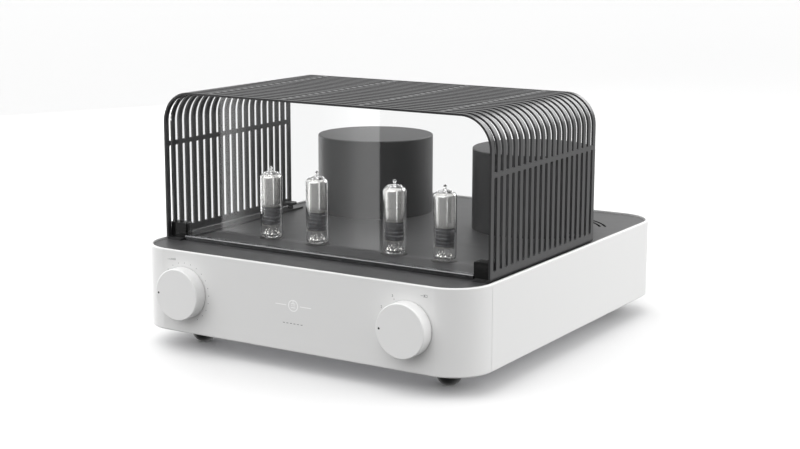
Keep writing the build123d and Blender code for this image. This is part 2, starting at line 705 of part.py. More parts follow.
BOARD_THICKNESS = 1.6
STANDOFF = 9.0
STANDOFF_RADIUS = 2.8
BOARD_Z = BASE_TOP + STANDOFF
with BuildPart() as power_board:
    with BuildSketch(Plane.XY.offset(BOARD_Z)):
        with Locations((0, -90)):
            RectangleRounded(236, 132, 3)
        with Locations(*BOARD_HOLES):
            Circle(1.6, mode=Mode.SUBTRACT)
    extrude(amount=BOARD_THICKNESS)
save(power_board.part, "power_board")

with BuildPart() as board_standoffs:
    with BuildSketch(Plane.XY.offset(BASE_TOP)):
        with Locations(*BOARD_HOLES):
            RegularPolygon(STANDOFF_RADIUS, 6)
    extrude(amount=STANDOFF)
save(board_standoffs.part, "board_standoffs")

CAPACITOR_ROWS = ((-60.0, 9.0, 28.0), (-108.0, 7.5, 24.0))  # y, radius, height
with BuildPart() as capacitors:
    for row_y, radius, height in CAPACITOR_ROWS:
        with BuildSketch(Plane.XY.offset(BOARD_Z + BOARD_THICKNESS)):
            with Locations((0, row_y)):
                with GridLocations(26, 0, 6, 1):
                    Circle(radius)
        extrude(amount=height)
    fillet(capacitors.faces().filter_by(Plane.XY).sort_by(Axis.Z)[-1].edges(), 0.8)
save(capacitors.part, "capacitors")

TUBE_BOARD_Z = SOCKET_TOP - SOCKET_HEIGHT - BOARD_THICKNESS
with BuildPart() as tube_board:
    with BuildSketch(Plane.XY.offset(TUBE_BOARD_Z)):
        with Locations((0, TUBE_ROW_Y)):
            RectangleRounded(230, 46, 3)
        with Locations(*TUBE_PLACES):
            with PolarLocations(PIN_CIRCLE, 9, start_angle=PIN_STEP / 2, angular_range=9 * PIN_STEP):
                Circle(0.8, mode=Mode.SUBTRACT)
    extrude(amount=BOARD_THICKNESS)
save(tube_board.part, "tube_board")

# ---- rear panel and its fittings ----------------------------------------------------
PANEL_THICKNESS = 2.0
PAN_MARGIN = 4.0
INLET_X = 92.0
INLET_WIDTH = 58.0
INLET_HEIGHT = 31.0
INLET_CUT = (52.0, 27.0)
INLET_DEPTH = 24.0
FLANGE_THICKNESS = 3.0
SOCKET_X = INLET_X - 14.0  # the mains socket's half of the module
RECESS = (22.4, 15.8, 16.0)  # width, height, depth
ROCKER_X = INLET_X + 19.0
ROCKER_SIZE = (11.0, 19.0)
DRAWER_X = INLET_X + 5.0
DRAWER_SIZE = (9.0, 21.0)
POST_XS = [-112.0, -112.0 + POST_PITCH, -62.0, -62.0 + POST_PITCH]
RCA_XS = (-10.0, 9.0, 28.0)
RCA_RISE = 9.0
RCA_RADIUS = 4.15
RCA_BARREL = 9.5

with BuildPart() as rear_panel:
    with BuildSketch(Plane.XZ.offset(-(REAR_Y - WALL))):
        with Locations((0, PANEL_Z)):
            RectangleRounded(WINDOW_WIDTH + 2 * PAN_MARGIN, WINDOW_HEIGHT + 2 * PAN_MARGIN, 4)
    extrude(amount=PANEL_INSET - WALL + PANEL_THICKNESS)
    with BuildSketch(Plane.XZ.offset(-(REAR_Y - WALL))):
        with Locations((0, PANEL_Z)):
            RectangleRounded(WINDOW_WIDTH, WINDOW_HEIGHT, 3)
    extrude(amount=PANEL_INSET - WALL, mode=Mode.SUBTRACT)
    with BuildSketch(Plane.XZ.offset(-PANEL_Y)):
        with Locations((INLET_X, PANEL_Z)):
            Rectangle(*INLET_CUT)
        with Locations(*[(x, PANEL_Z) for x in POST_XS]):
            Circle(4.6)
        with Locations(*[(x, PANEL_Z + s * RCA_RISE) for x in RCA_XS for s in (-1, 1)]):
            Circle(3.4)
    extrude(amount=PANEL_THICKNESS, mode=Mode.SUBTRACT)
save(rear_panel.part, "rear_panel")

with BuildPart() as mains_inlet:
    with BuildSketch(Plane.XZ.offset(-PANEL_Y)):
        with Locations((INLET_X, PANEL_Z)):
            RectangleRounded(INLET_WIDTH, INLET_HEIGHT, 2)
    extrude(amount=-FLANGE_THICKNESS)
    with BuildSketch(Plane.XZ.offset(-PANEL_Y)):
        with Locations((INLET_X, PANEL_Z)):
            Rectangle(INLET_CUT[0] - 0.6, INLET_CUT[1] - 0.6)
    extrude(amount=INLET_DEPTH)
    with BuildSketch(Plane.XZ.offset(-(PANEL_Y + FLANGE_THICKNESS))):
        with Locations((SOCKET_X, PANEL_Z)):
            RectangleRounded(RECESS[0], RECESS[1], 3)
    extrude(amount=RECESS[2], mode=Mode.SUBTRACT)
    with BuildSketch(Plane.XZ.offset(-(PANEL_Y + FLANGE_THICKNESS))):
        with Locations((ROCKER_X, PANEL_Z)):
            Rectangle(ROCKER_SIZE[0] + 0.8, ROCKER_SIZE[1] + 0.8)
        with Locations((DRAWER_X, PANEL_Z)):
            Rectangle(DRAWER_SIZE[0] + 0.4, DRAWER_SIZE[1] + 0.4)
    extrude(amount=18, mode=Mode.SUBTRACT)
save(mains_inlet.part, "mains_inlet")

# three blades of the mains socket, standing in its recess
BLADE_PITCH = 7.0
with BuildPart() as inlet_pins:
    with BuildSketch(Plane.XZ.offset(-(PANEL_Y + FLANGE_THICKNESS - RECESS[2]))):
        with Locations(
            (SOCKET_X - BLADE_PITCH, PANEL_Z - 2),
            (SOCKET_X, PANEL_Z + 2),
            (SOCKET_X + BLADE_PITCH, PANEL_Z - 2),
        ):
            Rectangle(2.0, 4.0)
    extrude(amount=-(RECESS[2] - 3))
save(inlet_pins.part, "inlet_pins")

ROCKER_TILT = 12.0
ROCKER_PIVOT_Y = PANEL_Y - 1.0
with BuildPart() as power_rocker:
    rocker_plane = Plane(
        origin=(ROCKER_X, ROCKER_PIVOT_Y, PANEL_Z),
        x_dir=(0, cos(radians(ROCKER_TILT)), sin(radians(ROCKER_TILT))),
        z_dir=(1, 0, 0),
    )
    with BuildSketch(rocker_plane):
        with BuildLine():
            half = ROCKER_SIZE[1] / 2 - 0.9
            Polyline((-3.0, -4.0), (-3.0, 4.0), (3.0, half), (5.6, half))
            ThreePointArc((5.6, half), (4.6, 0), (5.6, -half))
            Polyline((5.6, -half), (3.0, -half), (-3.0, -4.0))
        make_face()
    extrude(amount=ROCKER_SIZE[0] / 2, both=True)
save(power_rocker.part, "power_rocker")

with BuildPart() as fuse_drawer:
    with BuildSketch(Plane.XZ.offset(-(PANEL_Y + FLANGE_THICKNESS + 1.2))):
        with Locations((DRAWER_X, PANEL_Z)):
            Rectangle(*DRAWER_SIZE)
    extrude(amount=18)
    with BuildSketch(Plane.XZ.offset(-(PANEL_Y + FLANGE_THICKNESS + 1.2))):
        with Locations((DRAWER_X, PANEL_Z + DRAWER_SIZE[1] / 2 - 1.5)):
            Rectangle(5, 1.4)
    extrude(amount=1.0, mode=Mode.SUBTRACT)
save(fuse_drawer.part, "fuse_drawer")

with BuildPart() as rca_jacks:
    jack_places = [(x, PANEL_Z + s * RCA_RISE) for x in RCA_XS for s in (-1, 1)]
    with BuildSketch(Plane.XZ.offset(-PANEL_Y)):
        with Locations(*jack_places):
            RegularPolygon(5.4, 6)
    extrude(amount=-1.8)
    with BuildSketch(Plane.XZ.offset(-PANEL_Y)):
        with Locations(*jack_places):
            Circle(RCA_RADIUS)
            Circle(1.65, mode=Mode.SUBTRACT)
    extrude(amount=-RCA_BARREL)
    with BuildSketch(Plane.XZ.offset(-PANEL_Y)):
        with Locations(*jack_places):
            Circle(3.2)
    extrude(amount=12)
save(rca_jacks.part, "rca_jacks")

POST_BASE = 3.2
POST_END = REAR_Y + KNOB_DEPTH
CAP_START = PANEL_Y + POST_BASE + 1.6
STUD_RADIUS = 3.6
CAP_RADIUS = 7.4
with BuildPart() as speaker_posts:
    post_places = [(x, PANEL_Z) for x in POST_XS]
    with BuildSketch(Plane.XZ.offset(-PANEL_Y)):
        with Locations(*post_places):
            Circle(8.2)
    extrude(amount=-POST_BASE)
    with BuildSketch(Plane.XZ.offset(-(PANEL_Y + 1))):
        with Locations(*post_places):
            Circle(4.4)
    extrude(amount=12)
    with BuildSketch(Plane.XZ.offset(-(PANEL_Y + 1))):
        with Locations(*post_places):
            Circle(STUD_RADIUS)
    extrude(amount=-(POST_END - 2 - PANEL_Y - 1))
    with BuildSketch(Plane.XZ.offset(-POST_END)):
        with Locations(*post_places):
            Circle(BANANA_RADIUS)
    extrude(amount=POST_END - PANEL_Y - 2, mode=Mode.SUBTRACT)
save(speaker_posts.part, "speaker_posts")

for number, post_x in enumerate(POST_XS, start=1):
    with BuildPart() as post_cap:
        with BuildSketch(Plane.XZ.offset(-CAP_START)):
            with Locations((post_x, PANEL_Z)):
                Circle(CAP_RADIUS)
                with PolarLocations(CAP_RADIUS + 0.2, 12):
                    Circle(0.8, mode=Mode.SUBTRACT)
                Circle(STUD_RADIUS + 0.06, mode=Mode.SUBTRACT)
        extrude(amount=-(POST_END - CAP_START))
        chamfer(post_cap.faces().sort_by(Axis.Y)[-1].outer_wire().edges(), 0.5)
    save(post_cap.part, f"post_cap_{number}")
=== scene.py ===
# %% [markdown]
# # Dressing a tube amplifier
# The CAD model already holds every wall, knob, slot and screw at its real size. This file gives
# those parts their finishes, and builds anew the few pieces whose look is in fine detail: the four
# glass tubes with what is inside them, the printed scales on the front, and the small hardware at
# the rear. It reads as a lesson: each step says what the thing is on a real amplifier, how it
# could be made, and why it is made this way here.

# %% Load the frame
import json
import math

import bmesh
import bpy
import numpy as np
from mathutils import Matrix, Vector


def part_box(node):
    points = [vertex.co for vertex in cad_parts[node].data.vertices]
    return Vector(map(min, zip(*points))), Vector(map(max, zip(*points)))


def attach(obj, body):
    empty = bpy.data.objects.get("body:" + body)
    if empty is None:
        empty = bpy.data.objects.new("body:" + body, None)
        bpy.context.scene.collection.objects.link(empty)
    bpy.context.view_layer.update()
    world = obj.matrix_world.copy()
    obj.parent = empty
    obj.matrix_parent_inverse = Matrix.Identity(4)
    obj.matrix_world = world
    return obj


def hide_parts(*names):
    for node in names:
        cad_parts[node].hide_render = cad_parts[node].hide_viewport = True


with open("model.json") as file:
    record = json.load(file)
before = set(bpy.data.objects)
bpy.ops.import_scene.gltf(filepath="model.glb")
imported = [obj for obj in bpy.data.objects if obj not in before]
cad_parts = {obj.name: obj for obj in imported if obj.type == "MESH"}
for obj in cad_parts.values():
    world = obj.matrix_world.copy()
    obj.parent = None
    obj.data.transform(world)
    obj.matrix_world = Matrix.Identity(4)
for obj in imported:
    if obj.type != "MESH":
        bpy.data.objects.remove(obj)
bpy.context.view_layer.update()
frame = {"nodes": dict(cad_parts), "record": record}

# %% [markdown]
# Places come from the frame, not from numbers typed again. A node's box gives its lowest and its
# highest corner, so the deck's top, the fascia's front and the axis of each knob and tube can all
# be read off. Lengths below are written in millimetres and multiplied by MM.

# %% Places that later steps use
MM = 0.001
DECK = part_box("top_plate")[1].z
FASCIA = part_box("front_fascia")[0].y
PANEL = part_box("mains_inlet")[1].y - 3.0 * MM
TUBES = [1, 2, 3, 4]


def middle(node):
    """Centre of a node's box."""
    low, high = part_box(node)
    return (low + high) / 2


VOLUME = middle("volume_knob")
SOURCE = middle("source_knob")
print("deck", round(DECK, 4), "fascia", round(FASCIA, 4), "knobs", VOLUME.x, SOURCE.x)

# %% [markdown]
# ## The camera
# A long lens from the front right, a little above the amplifier, as for a catalogue picture. The
# camera is given by where it stands and by its three axes, which come from the azimuth, the
# elevation and a very small roll.

# %% Camera
CAMERA_PLACE = Vector((0.74084, -1.20691, 0.37358))
AZIMUTH, ELEVATION, ROLL = (math.radians(a) for a in (31.869, 11.117, 0.112))

back = Vector((
    math.sin(AZIMUTH) * math.cos(ELEVATION),
    -math.cos(AZIMUTH) * math.cos(ELEVATION),
    math.sin(ELEVATION),
))
aside = Vector((math.cos(AZIMUTH), math.sin(AZIMUTH), 0))
above = back.cross(aside)
right = math.cos(ROLL) * aside + math.sin(ROLL) * above
up = math.cos(ROLL) * above - math.sin(ROLL) * aside

camera_data = bpy.data.cameras.new("camera")
camera_data.lens = 70.469
camera_data.sensor_width = 36
camera = bpy.data.objects.new("camera", camera_data)
camera.matrix_world = Matrix.Translation(CAMERA_PLACE) @ Matrix((right, up, back)).transposed().to_4x4()
bpy.context.scene.collection.objects.link(camera)
bpy.context.scene.camera = camera
print("camera looks along", tuple(-back))

# %% [markdown]
# ## Mesh helpers
# Every new piece is a surface worked out as arrays. A grid of points with rows and columns becomes
# quads, a profile turned round an axis becomes a lathe shape, and a small section carried along a
# path becomes a wire. The helpers return points and faces, so that one piece can be put together
# from several closed shells before it becomes a mesh.

# %% Grids, lathes, wires and prisms
def grid_faces(rows, columns, outward=True):
    """Point (i, j) is number i * columns + j, and the last column joins the first. A face goes
    to the next column and then to the next row, or the other way round if not outward."""
    i, j = np.meshgrid(np.arange(rows - 1), np.arange(columns), indexing="ij")
    nxt = (j + 1) % columns
    corners = [i * columns + j, i * columns + nxt, (i + 1) * columns + nxt, (i + 1) * columns + j]
    faces = np.stack(corners, -1).reshape(-1, 4)
    return faces if outward else faces[:, ::-1]


def lathe(profile, centre, columns=64, outward=True, axis="Z"):
    """A profile of (radius, height) pairs turned about an upright axis, or about Y: the point at
    angle t is (radius cos t, radius sin t, height). Listed upwards, it faces away from the axis."""
    profile = np.asarray(profile, float)
    t = np.linspace(0, 2 * np.pi, columns, endpoint=False)
    radius, height = profile[:, :1], profile[:, 1:]
    across, along = radius * np.cos(t), radius * np.sin(t)
    rise = np.broadcast_to(height, across.shape)
    if axis == "Z":
        points = np.stack([across, along, rise], -1)
    else:
        points = np.stack([along, rise, across], -1)
    points = points.reshape(-1, 3) * MM + np.asarray(centre)
    return points, grid_faces(len(profile), columns, outward)


def wire(path, radius, sides=8):
    """A round section carried along a path of points: at each point two directions square to the
    path span a circle. Both ends are closed by rings that shrink to the centre."""
    path = np.asarray(path, float)
    along = np.gradient(path, axis=0)
    along /= np.linalg.norm(along, axis=1, keepdims=True)
    lean = np.where(np.abs(along[:, 2:3]) > 0.9, [[0.0, 1.0, 0.0]], [[0.0, 0.0, 1.0]])
    first = np.cross(lean, along)
    first /= np.linalg.norm(first, axis=1, keepdims=True)
    second = np.cross(along, first)
    t = np.linspace(0, 2 * np.pi, sides, endpoint=False)[None, :, None]
    rings = path[:, None] + radius * (np.cos(t) * first[:, None] + np.sin(t) * second[:, None])
    ends = [np.repeat(path[k][None, None], sides, 1) for k in (0, -1)]
    points = np.concatenate([ends[0], rings, ends[1]]).reshape(-1, 3)
    return points * MM, grid_faces(len(path) + 2, sides)


def prism(outline, front, thickness):
    """A flat outline of (x, z) pairs, listed anticlockwise as seen from the front, with a back
    that is the same outline moved along +Y by the thickness."""
    outline = np.asarray(outline, float)
    count = len(outline)
    x, z = outline[:, 0], outline[:, 1]
    near = np.stack([x, np.full(count, front), z], 1)
    far = near + [0, thickness, 0]
    k = np.arange(count)
    nxt = (k + 1) % count
    sides = [list(f) for f in np.stack([nxt, k, k + count, nxt + count], 1)]
    return np.concatenate([near, far]), [list(k), list(k[::-1] + count), *sides]


def shift(shell, by):
    """The same shell, moved."""
    return shell[0] + np.asarray(by), shell[1]


# %% [markdown]
# One function turns shells into a finished piece. It merges the doubled points at poles and seams,
# shades smooth but keeps real corners sharp, gives the material, and lets the piece ride on its CAD
# body. The object stays at the origin, so a pattern on Object coordinates is true to size.

# %% From shells to a piece
def piece(name, shells, material, body, sharp=35):
    """Joins the shells into one mesh, with each shell's face numbers moved past those before."""
    starts = np.cumsum([0] + [len(points) for points, _ in shells])
    points = np.concatenate([s[0] for s in shells])
    faces = [[int(v) + int(start) for v in f] for s, start in zip(shells, starts) for f in s[1]]
    mesh = bpy.data.meshes.new(name)
    mesh.from_pydata(points.tolist(), [], faces)
    tidy = bmesh.new()
    tidy.from_mesh(mesh)
    bmesh.ops.remove_doubles(tidy, verts=tidy.verts, dist=0.002 * MM)
    bmesh.ops.dissolve_degenerate(tidy, edges=tidy.edges, dist=0.001 * MM)
    tidy.to_mesh(mesh)
    tidy.free()
    mesh.shade_smooth()
    mesh.set_sharp_from_angle(angle=math.radians(sharp))
    mesh.materials.append(material)
    made = bpy.data.objects.new(name, mesh)
    bpy.context.scene.collection.objects.link(made)
    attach(made, body)
    print(name, len(mesh.polygons), "faces")
    return made


# %% [markdown]
# ## Shader groups
# Real finishes are never even: paint has a fine orange-peel grain and slow changes of shade, drawn
# metal has lines one way, edges are a little rounded and catch light, and dust lies on what faces
# up. Each of these is one node group with named inputs, which the materials share.

# %% A small kit for node trees
def add_node(tree, kind, **values):
    """A node with its settings, and its inputs by name, set in one go."""
    node = tree.nodes.new(kind)
    for key, value in values.items():
        if hasattr(node, key):
            setattr(node, key, value)
        else:
            node.inputs[key.replace("_", " ")].default_value = value
    return node


def new_group(name, inputs, outputs):
    """A shader group with named sockets. Kinds: F a number, C a colour, V a vector."""
    kinds = {"F": "NodeSocketFloat", "C": "NodeSocketColor", "V": "NodeSocketVector"}
    tree = bpy.data.node_groups.new(name, "ShaderNodeTree")
    for label, kind, value in inputs:
        socket = tree.interface.new_socket(label, in_out="INPUT", socket_type=kinds[kind])
        if value is not None:
            socket.default_value = value
    for label, kind in outputs:
        tree.interface.new_socket(label, in_out="OUTPUT", socket_type=kinds[kind])
    return tree, tree.nodes.new("NodeGroupInput"), tree.nodes.new("NodeGroupOutput")


def maths(tree, operation, first, second, third=None):
    """A Math node on numbers or sockets; returns its output."""
    node = tree.nodes.new("ShaderNodeMath")
    node.operation = operation
    for index, value in enumerate((first, second, third)):
        if isinstance(value, bpy.types.NodeSocket):
            tree.links.new(value, node.inputs[index])
        elif value is not None:
            node.inputs[index].default_value = value
    return node.outputs[0]


# %% Grain: shade and gloss that drift, and a fine height
def grain_group():
    """Fine noise gives the height; coarse noise, 40 times larger, moves the colour's value and
    the roughness up and down by the given spreads."""
    tree, given, gives = new_group(
        "grain",
        [("Vector", "V", None), ("Color", "C", (0.5, 0.5, 0.5, 1)), ("Roughness", "F", 0.5),
         ("Grain", "F", 2500.0), ("Shade Spread", "F", 0.04), ("Gloss Spread", "F", 0.06)],
        [("Color", "C"), ("Roughness", "F"), ("Height", "F")],
    )
    fine = add_node(tree, "ShaderNodeTexNoise", Detail=3.0, Roughness=0.6)
    slow = add_node(tree, "ShaderNodeTexNoise", Detail=2.0, Roughness=0.5)
    for noise in (fine, slow):
        tree.links.new(given.outputs["Vector"], noise.inputs["Vector"])
    tree.links.new(given.outputs["Grain"], fine.inputs["Scale"])
    tree.links.new(maths(tree, "DIVIDE", given.outputs["Grain"], 40.0), slow.inputs["Scale"])
    drift = maths(tree, "SUBTRACT", slow.outputs["Fac"], 0.5)
    value = maths(tree, "MULTIPLY_ADD", drift, given.outputs["Shade Spread"], 1.0)
    shade = tree.nodes.new("ShaderNodeHueSaturation")
    tree.links.new(given.outputs["Color"], shade.inputs["Color"])
    tree.links.new(value, shade.inputs["Value"])
    speck = maths(tree, "SUBTRACT", fine.outputs["Fac"], 0.5)
    both = maths(tree, "ADD", drift, speck)
    spread = given.outputs["Gloss Spread"]
    rough = maths(tree, "MULTIPLY_ADD", both, spread, given.outputs["Roughness"])
    tree.links.new(shade.outputs["Color"], gives.inputs["Color"])
    tree.links.new(rough, gives.inputs["Roughness"])
    tree.links.new(fine.outputs["Fac"], gives.inputs["Height"])
    return tree


GRAIN = grain_group()


# %% Brushing: lines along one direction
def brushed_group():
    """Noise on coordinates that are squeezed by the Stretch vector, so that it runs into lines."""
    tree, given, gives = new_group(
        "brushed",
        [("Vector", "V", None), ("Stretch", "V", (4000, 4000, 60)), ("Color", "C", (0.5, 0.5, 0.5, 1)),
         ("Roughness", "F", 0.3), ("Line Contrast", "F", 0.3)],
        [("Color", "C"), ("Roughness", "F"), ("Height", "F")],
    )
    squeeze = add_node(tree, "ShaderNodeVectorMath", operation="MULTIPLY")
    tree.links.new(given.outputs["Vector"], squeeze.inputs[0])
    tree.links.new(given.outputs["Stretch"], squeeze.inputs[1])
    lines = add_node(tree, "ShaderNodeTexNoise", Scale=1.0, Detail=4.0, Roughness=0.65)
    tree.links.new(squeeze.outputs[0], lines.inputs["Vector"])
    drift = maths(tree, "SUBTRACT", lines.outputs["Fac"], 0.5)
    value = maths(tree, "MULTIPLY_ADD", drift, given.outputs["Line Contrast"], 1.0)
    shade = tree.nodes.new("ShaderNodeHueSaturation")
    tree.links.new(given.outputs["Color"], shade.inputs["Color"])
    tree.links.new(value, shade.inputs["Value"])
    contrast = given.outputs["Line Contrast"]
    rough = maths(tree, "MULTIPLY_ADD", drift, contrast, given.outputs["Roughness"])
    tree.links.new(shade.outputs["Color"], gives.inputs["Color"])
    tree.links.new(rough, gives.inputs["Roughness"])
    tree.links.new(lines.outputs["Fac"], gives.inputs["Height"])
    return tree


BRUSHED = brushed_group()


# %% Edges: a soft radius on corners
def edge_group():
    """The normal is averaged over a small radius, which rounds a corner."""
    tree, given, gives = new_group("soft_edge", [("Radius", "F", 0.0004)], [("Normal", "V")])
    bevel = add_node(tree, "ShaderNodeBevel", samples=4)
    tree.links.new(given.outputs["Radius"], bevel.inputs["Radius"])
    tree.links.new(bevel.outputs["Normal"], gives.inputs["Normal"])
    return tree


SOFT_EDGE = edge_group()


# %% Dust: pale specks on what faces up
def dust_group():
    """Sparse noise, cut high, times how far the face's normal points up."""
    tree, given, gives = new_group(
        "dust",
        [("Vector", "V", None), ("Color", "C", (0.5, 0.5, 0.5, 1)), ("Amount", "F", 0.1)],
        [("Color", "C")],
    )
    specks = add_node(tree, "ShaderNodeTexNoise", Scale=900.0, Detail=5.0, Roughness=0.75)
    tree.links.new(given.outputs["Vector"], specks.inputs["Vector"])
    cut = add_node(tree, "ShaderNodeMapRange", From_Min=0.55, From_Max=0.85)
    tree.links.new(specks.outputs["Fac"], cut.inputs["Value"])
    flat = tree.nodes.new("ShaderNodeNewGeometry")
    parts = tree.nodes.new("ShaderNodeSeparateXYZ")
    tree.links.new(flat.outputs["Normal"], parts.inputs[0])
    facing = maths(tree, "MAXIMUM", parts.outputs["Z"], 0.0)
    lying = maths(tree, "MULTIPLY", cut.outputs["Result"], facing)
    mask = maths(tree, "MULTIPLY", lying, given.outputs["Amount"])
    mix = add_node(tree, "ShaderNodeMix", data_type="RGBA")
    mix.inputs[7].default_value = (0.62, 0.6, 0.57, 1)
    tree.links.new(mask, mix.inputs[0])
    tree.links.new(given.outputs["Color"], mix.inputs[6])
    tree.links.new(mix.outputs[2], gives.inputs["Color"])
    return tree


DUST = dust_group()


# %% Fade: a mask that rises with height, with a ragged border
def fade_group():
    """From Low to High the mask goes from 0 to 1; noise moves the border up and down."""
    tree, given, gives = new_group(
        "height_fade",
        [("Vector", "V", None), ("Low", "F", 0.0), ("High", "F", 0.01), ("Ragged", "F", 0.001)],
        [("Mask", "F")],
    )
    parts = tree.nodes.new("ShaderNodeSeparateXYZ")
    tree.links.new(given.outputs["Vector"], parts.inputs[0])
    noise = add_node(tree, "ShaderNodeTexNoise", Scale=260.0, Detail=3.0)
    tree.links.new(given.outputs["Vector"], noise.inputs["Vector"])
    drift = maths(tree, "SUBTRACT", noise.outputs["Fac"], 0.5)
    height = maths(tree, "MULTIPLY_ADD", drift, given.outputs["Ragged"], parts.outputs["Z"])
    ramp = add_node(tree, "ShaderNodeMapRange", interpolation_type="SMOOTHSTEP")
    tree.links.new(height, ramp.inputs["Value"])
    tree.links.new(given.outputs["Low"], ramp.inputs["From Min"])
    tree.links.new(given.outputs["High"], ramp.inputs["From Max"])
    tree.links.new(ramp.outputs["Result"], gives.inputs["Mask"])
    return tree


FADE = fade_group()

# %% [markdown]
# ## Materials
# The Principled shader stays in each material, with its constants on its own sockets. A finish
# picks the groups it needs: painted sheet takes grain, soft edges and a trace of dust; bare metal
# takes brushing; glass takes nothing but a faint drift of its roughness, because it is clean.

# %% Finishes from the groups
def bare_material(name, **values):
    """A material with its Principled node, its Object coordinates and its output."""
    material = bpy.data.materials.new(name)
    material.use_nodes = True
    tree = material.node_tree
    tree.nodes.clear()
    shader = add_node(tree, "ShaderNodeBsdfPrincipled", **values)
    output = tree.nodes.new("ShaderNodeOutputMaterial")
    tree.links.new(shader.outputs[0], output.inputs[0])
    place = tree.nodes.new("ShaderNodeTexCoord")
    return material, tree, shader, place.outputs["Object"]


def use_group(tree, group, vector=None, **values):
    """The group as a node, its Vector fed and its other inputs set by name."""
    node = tree.nodes.new("ShaderNodeGroup")
    node.node_tree = group
    if vector is not None:
        tree.links.new(vector, node.inputs["Vector"])
    for key, value in values.items():
        node.inputs[key.replace("_", " ")].default_value = value
    return node


def bump_from(tree, shader, height, distance, strength=1.0, normal=None):
    """A height in metres times distance, as a Bump node into the shader's Normal."""
    bump = add_node(tree, "ShaderNodeBump", Strength=strength, Distance=distance)
    tree.links.new(height, bump.inputs["Height"])
    if normal is not None:
        tree.links.new(normal, bump.inputs["Normal"])
    tree.links.new(bump.outputs["Normal"], shader.inputs["Normal"])


def painted(name, shade, roughness, grain=2600.0, bump=0.012, edge=None, dust=0.0,
            spread=(0.05, 0.08), **more):
    """Paint, enamel, moulded plastic or rubber: grain, and if asked soft edges and dust. The
    spread is that of shade and gloss; bump and edge are in millimetres."""
    material, tree, shader, place = bare_material(name, **more)
    coat = use_group(tree, GRAIN, place, Color=(*shade, 1), Roughness=roughness, Grain=grain,
                     Shade_Spread=spread[0], Gloss_Spread=spread[1])
    colour, normal = coat.outputs["Color"], None
    if edge:
        rim = use_group(tree, SOFT_EDGE, Radius=edge * MM)
        normal = rim.outputs["Normal"]
    if dust:
        film = use_group(tree, DUST, place, Amount=dust)
        tree.links.new(colour, film.inputs["Color"])
        colour = film.outputs["Color"]
    tree.links.new(colour, shader.inputs["Base Color"])
    tree.links.new(coat.outputs["Roughness"], shader.inputs["Roughness"])
    bump_from(tree, shader, coat.outputs["Height"], bump * MM, normal=normal)
    return material


def metal(name, shade, roughness, stretch=(4000, 4000, 60), lines=0.25, bump=0.002, edge=None, **more):
    """Bare or plated metal with drawing or turning lines."""
    material, tree, shader, place = bare_material(name, Metallic=1.0, **more)
    drawn = use_group(tree, BRUSHED, place, Color=(*shade, 1), Roughness=roughness,
                      Stretch=stretch, Line_Contrast=lines)
    normal = use_group(tree, SOFT_EDGE, Radius=edge * MM).outputs["Normal"] if edge else None
    tree.links.new(drawn.outputs["Color"], shader.inputs["Base Color"])
    tree.links.new(drawn.outputs["Roughness"], shader.inputs["Roughness"])
    bump_from(tree, shader, drawn.outputs["Height"], bump * MM, normal=normal)
    return material


# %% Painted, moulded and metal finishes
WHITE = painted("white_powder_coat", (0.72, 0.72, 0.716), 0.42, bump=0.010, edge=0.9,
                spread=(0.012, 0.05))
KNOB_WHITE = painted("white_knob_coat", (0.78, 0.78, 0.776), 0.33, grain=3600, bump=0.006, edge=0.4,
                     spread=(0.012, 0.05))
DECK_BLACK = painted("deck_powder_coat", (0.030, 0.030, 0.031), 0.42, grain=3000, bump=0.005, dust=0.06,
                     spread=(0.10, 0.08))
CAN_BLACK = painted("can_enamel", (0.028, 0.028, 0.029), 0.48, grain=2600, bump=0.004, dust=0.05,
                    spread=(0.08, 0.06), Specular_IOR_Level=0.35)
CAGE_BLACK = painted("cage_powder_coat", (0.024, 0.024, 0.025), 0.34, grain=3600, bump=0.003,
                     spread=(0.10, 0.06))
CLAMP_BLACK = painted("clamp_gloss_black", (0.006, 0.006, 0.006), 0.16, grain=1500, bump=0.001, edge=0.5,
                      spread=(0.1, 0.05))
RUBBER = painted("foot_rubber", (0.012, 0.012, 0.012), 0.55, grain=2200, bump=0.02, spread=(0.3, 0.15))
BLACK_PLASTIC = painted("black_moulded", (0.014, 0.014, 0.015), 0.40, grain=3000, bump=0.012, edge=0.3,
                        spread=(0.15, 0.12))
RED_PLASTIC = painted("red_moulded", (0.36, 0.012, 0.010), 0.30, grain=2000, bump=0.006, edge=0.3,
                      spread=(0.1, 0.08))
SOCKET_BLACK = painted("socket_phenolic", (0.010, 0.009, 0.008), 0.35, grain=2400, bump=0.01, edge=0.3,
                       spread=(0.2, 0.1))
SLEEVE = painted("capacitor_sleeve", (0.010, 0.012, 0.03), 0.28, grain=1400, bump=0.006,
                 spread=(0.2, 0.1))
BOARD = painted("board_lacquer", (0.012, 0.10, 0.045), 0.30, grain=900, bump=0.02, spread=(0.35, 0.15))
PRINT_GREY = painted("scale_print", (0.16, 0.16, 0.165), 0.55, grain=5000, bump=0.002, spread=(0.2, 0.1))
PRINT_WHITE = painted("emblem_print", (0.97, 0.97, 0.97), 0.25, grain=5000, bump=0.002,
                      spread=(0.01, 0.05))
MARKER = painted("marker_enamel", (0.020, 0.020, 0.021), 0.25, grain=4000, bump=0.003, spread=(0.2, 0.1))

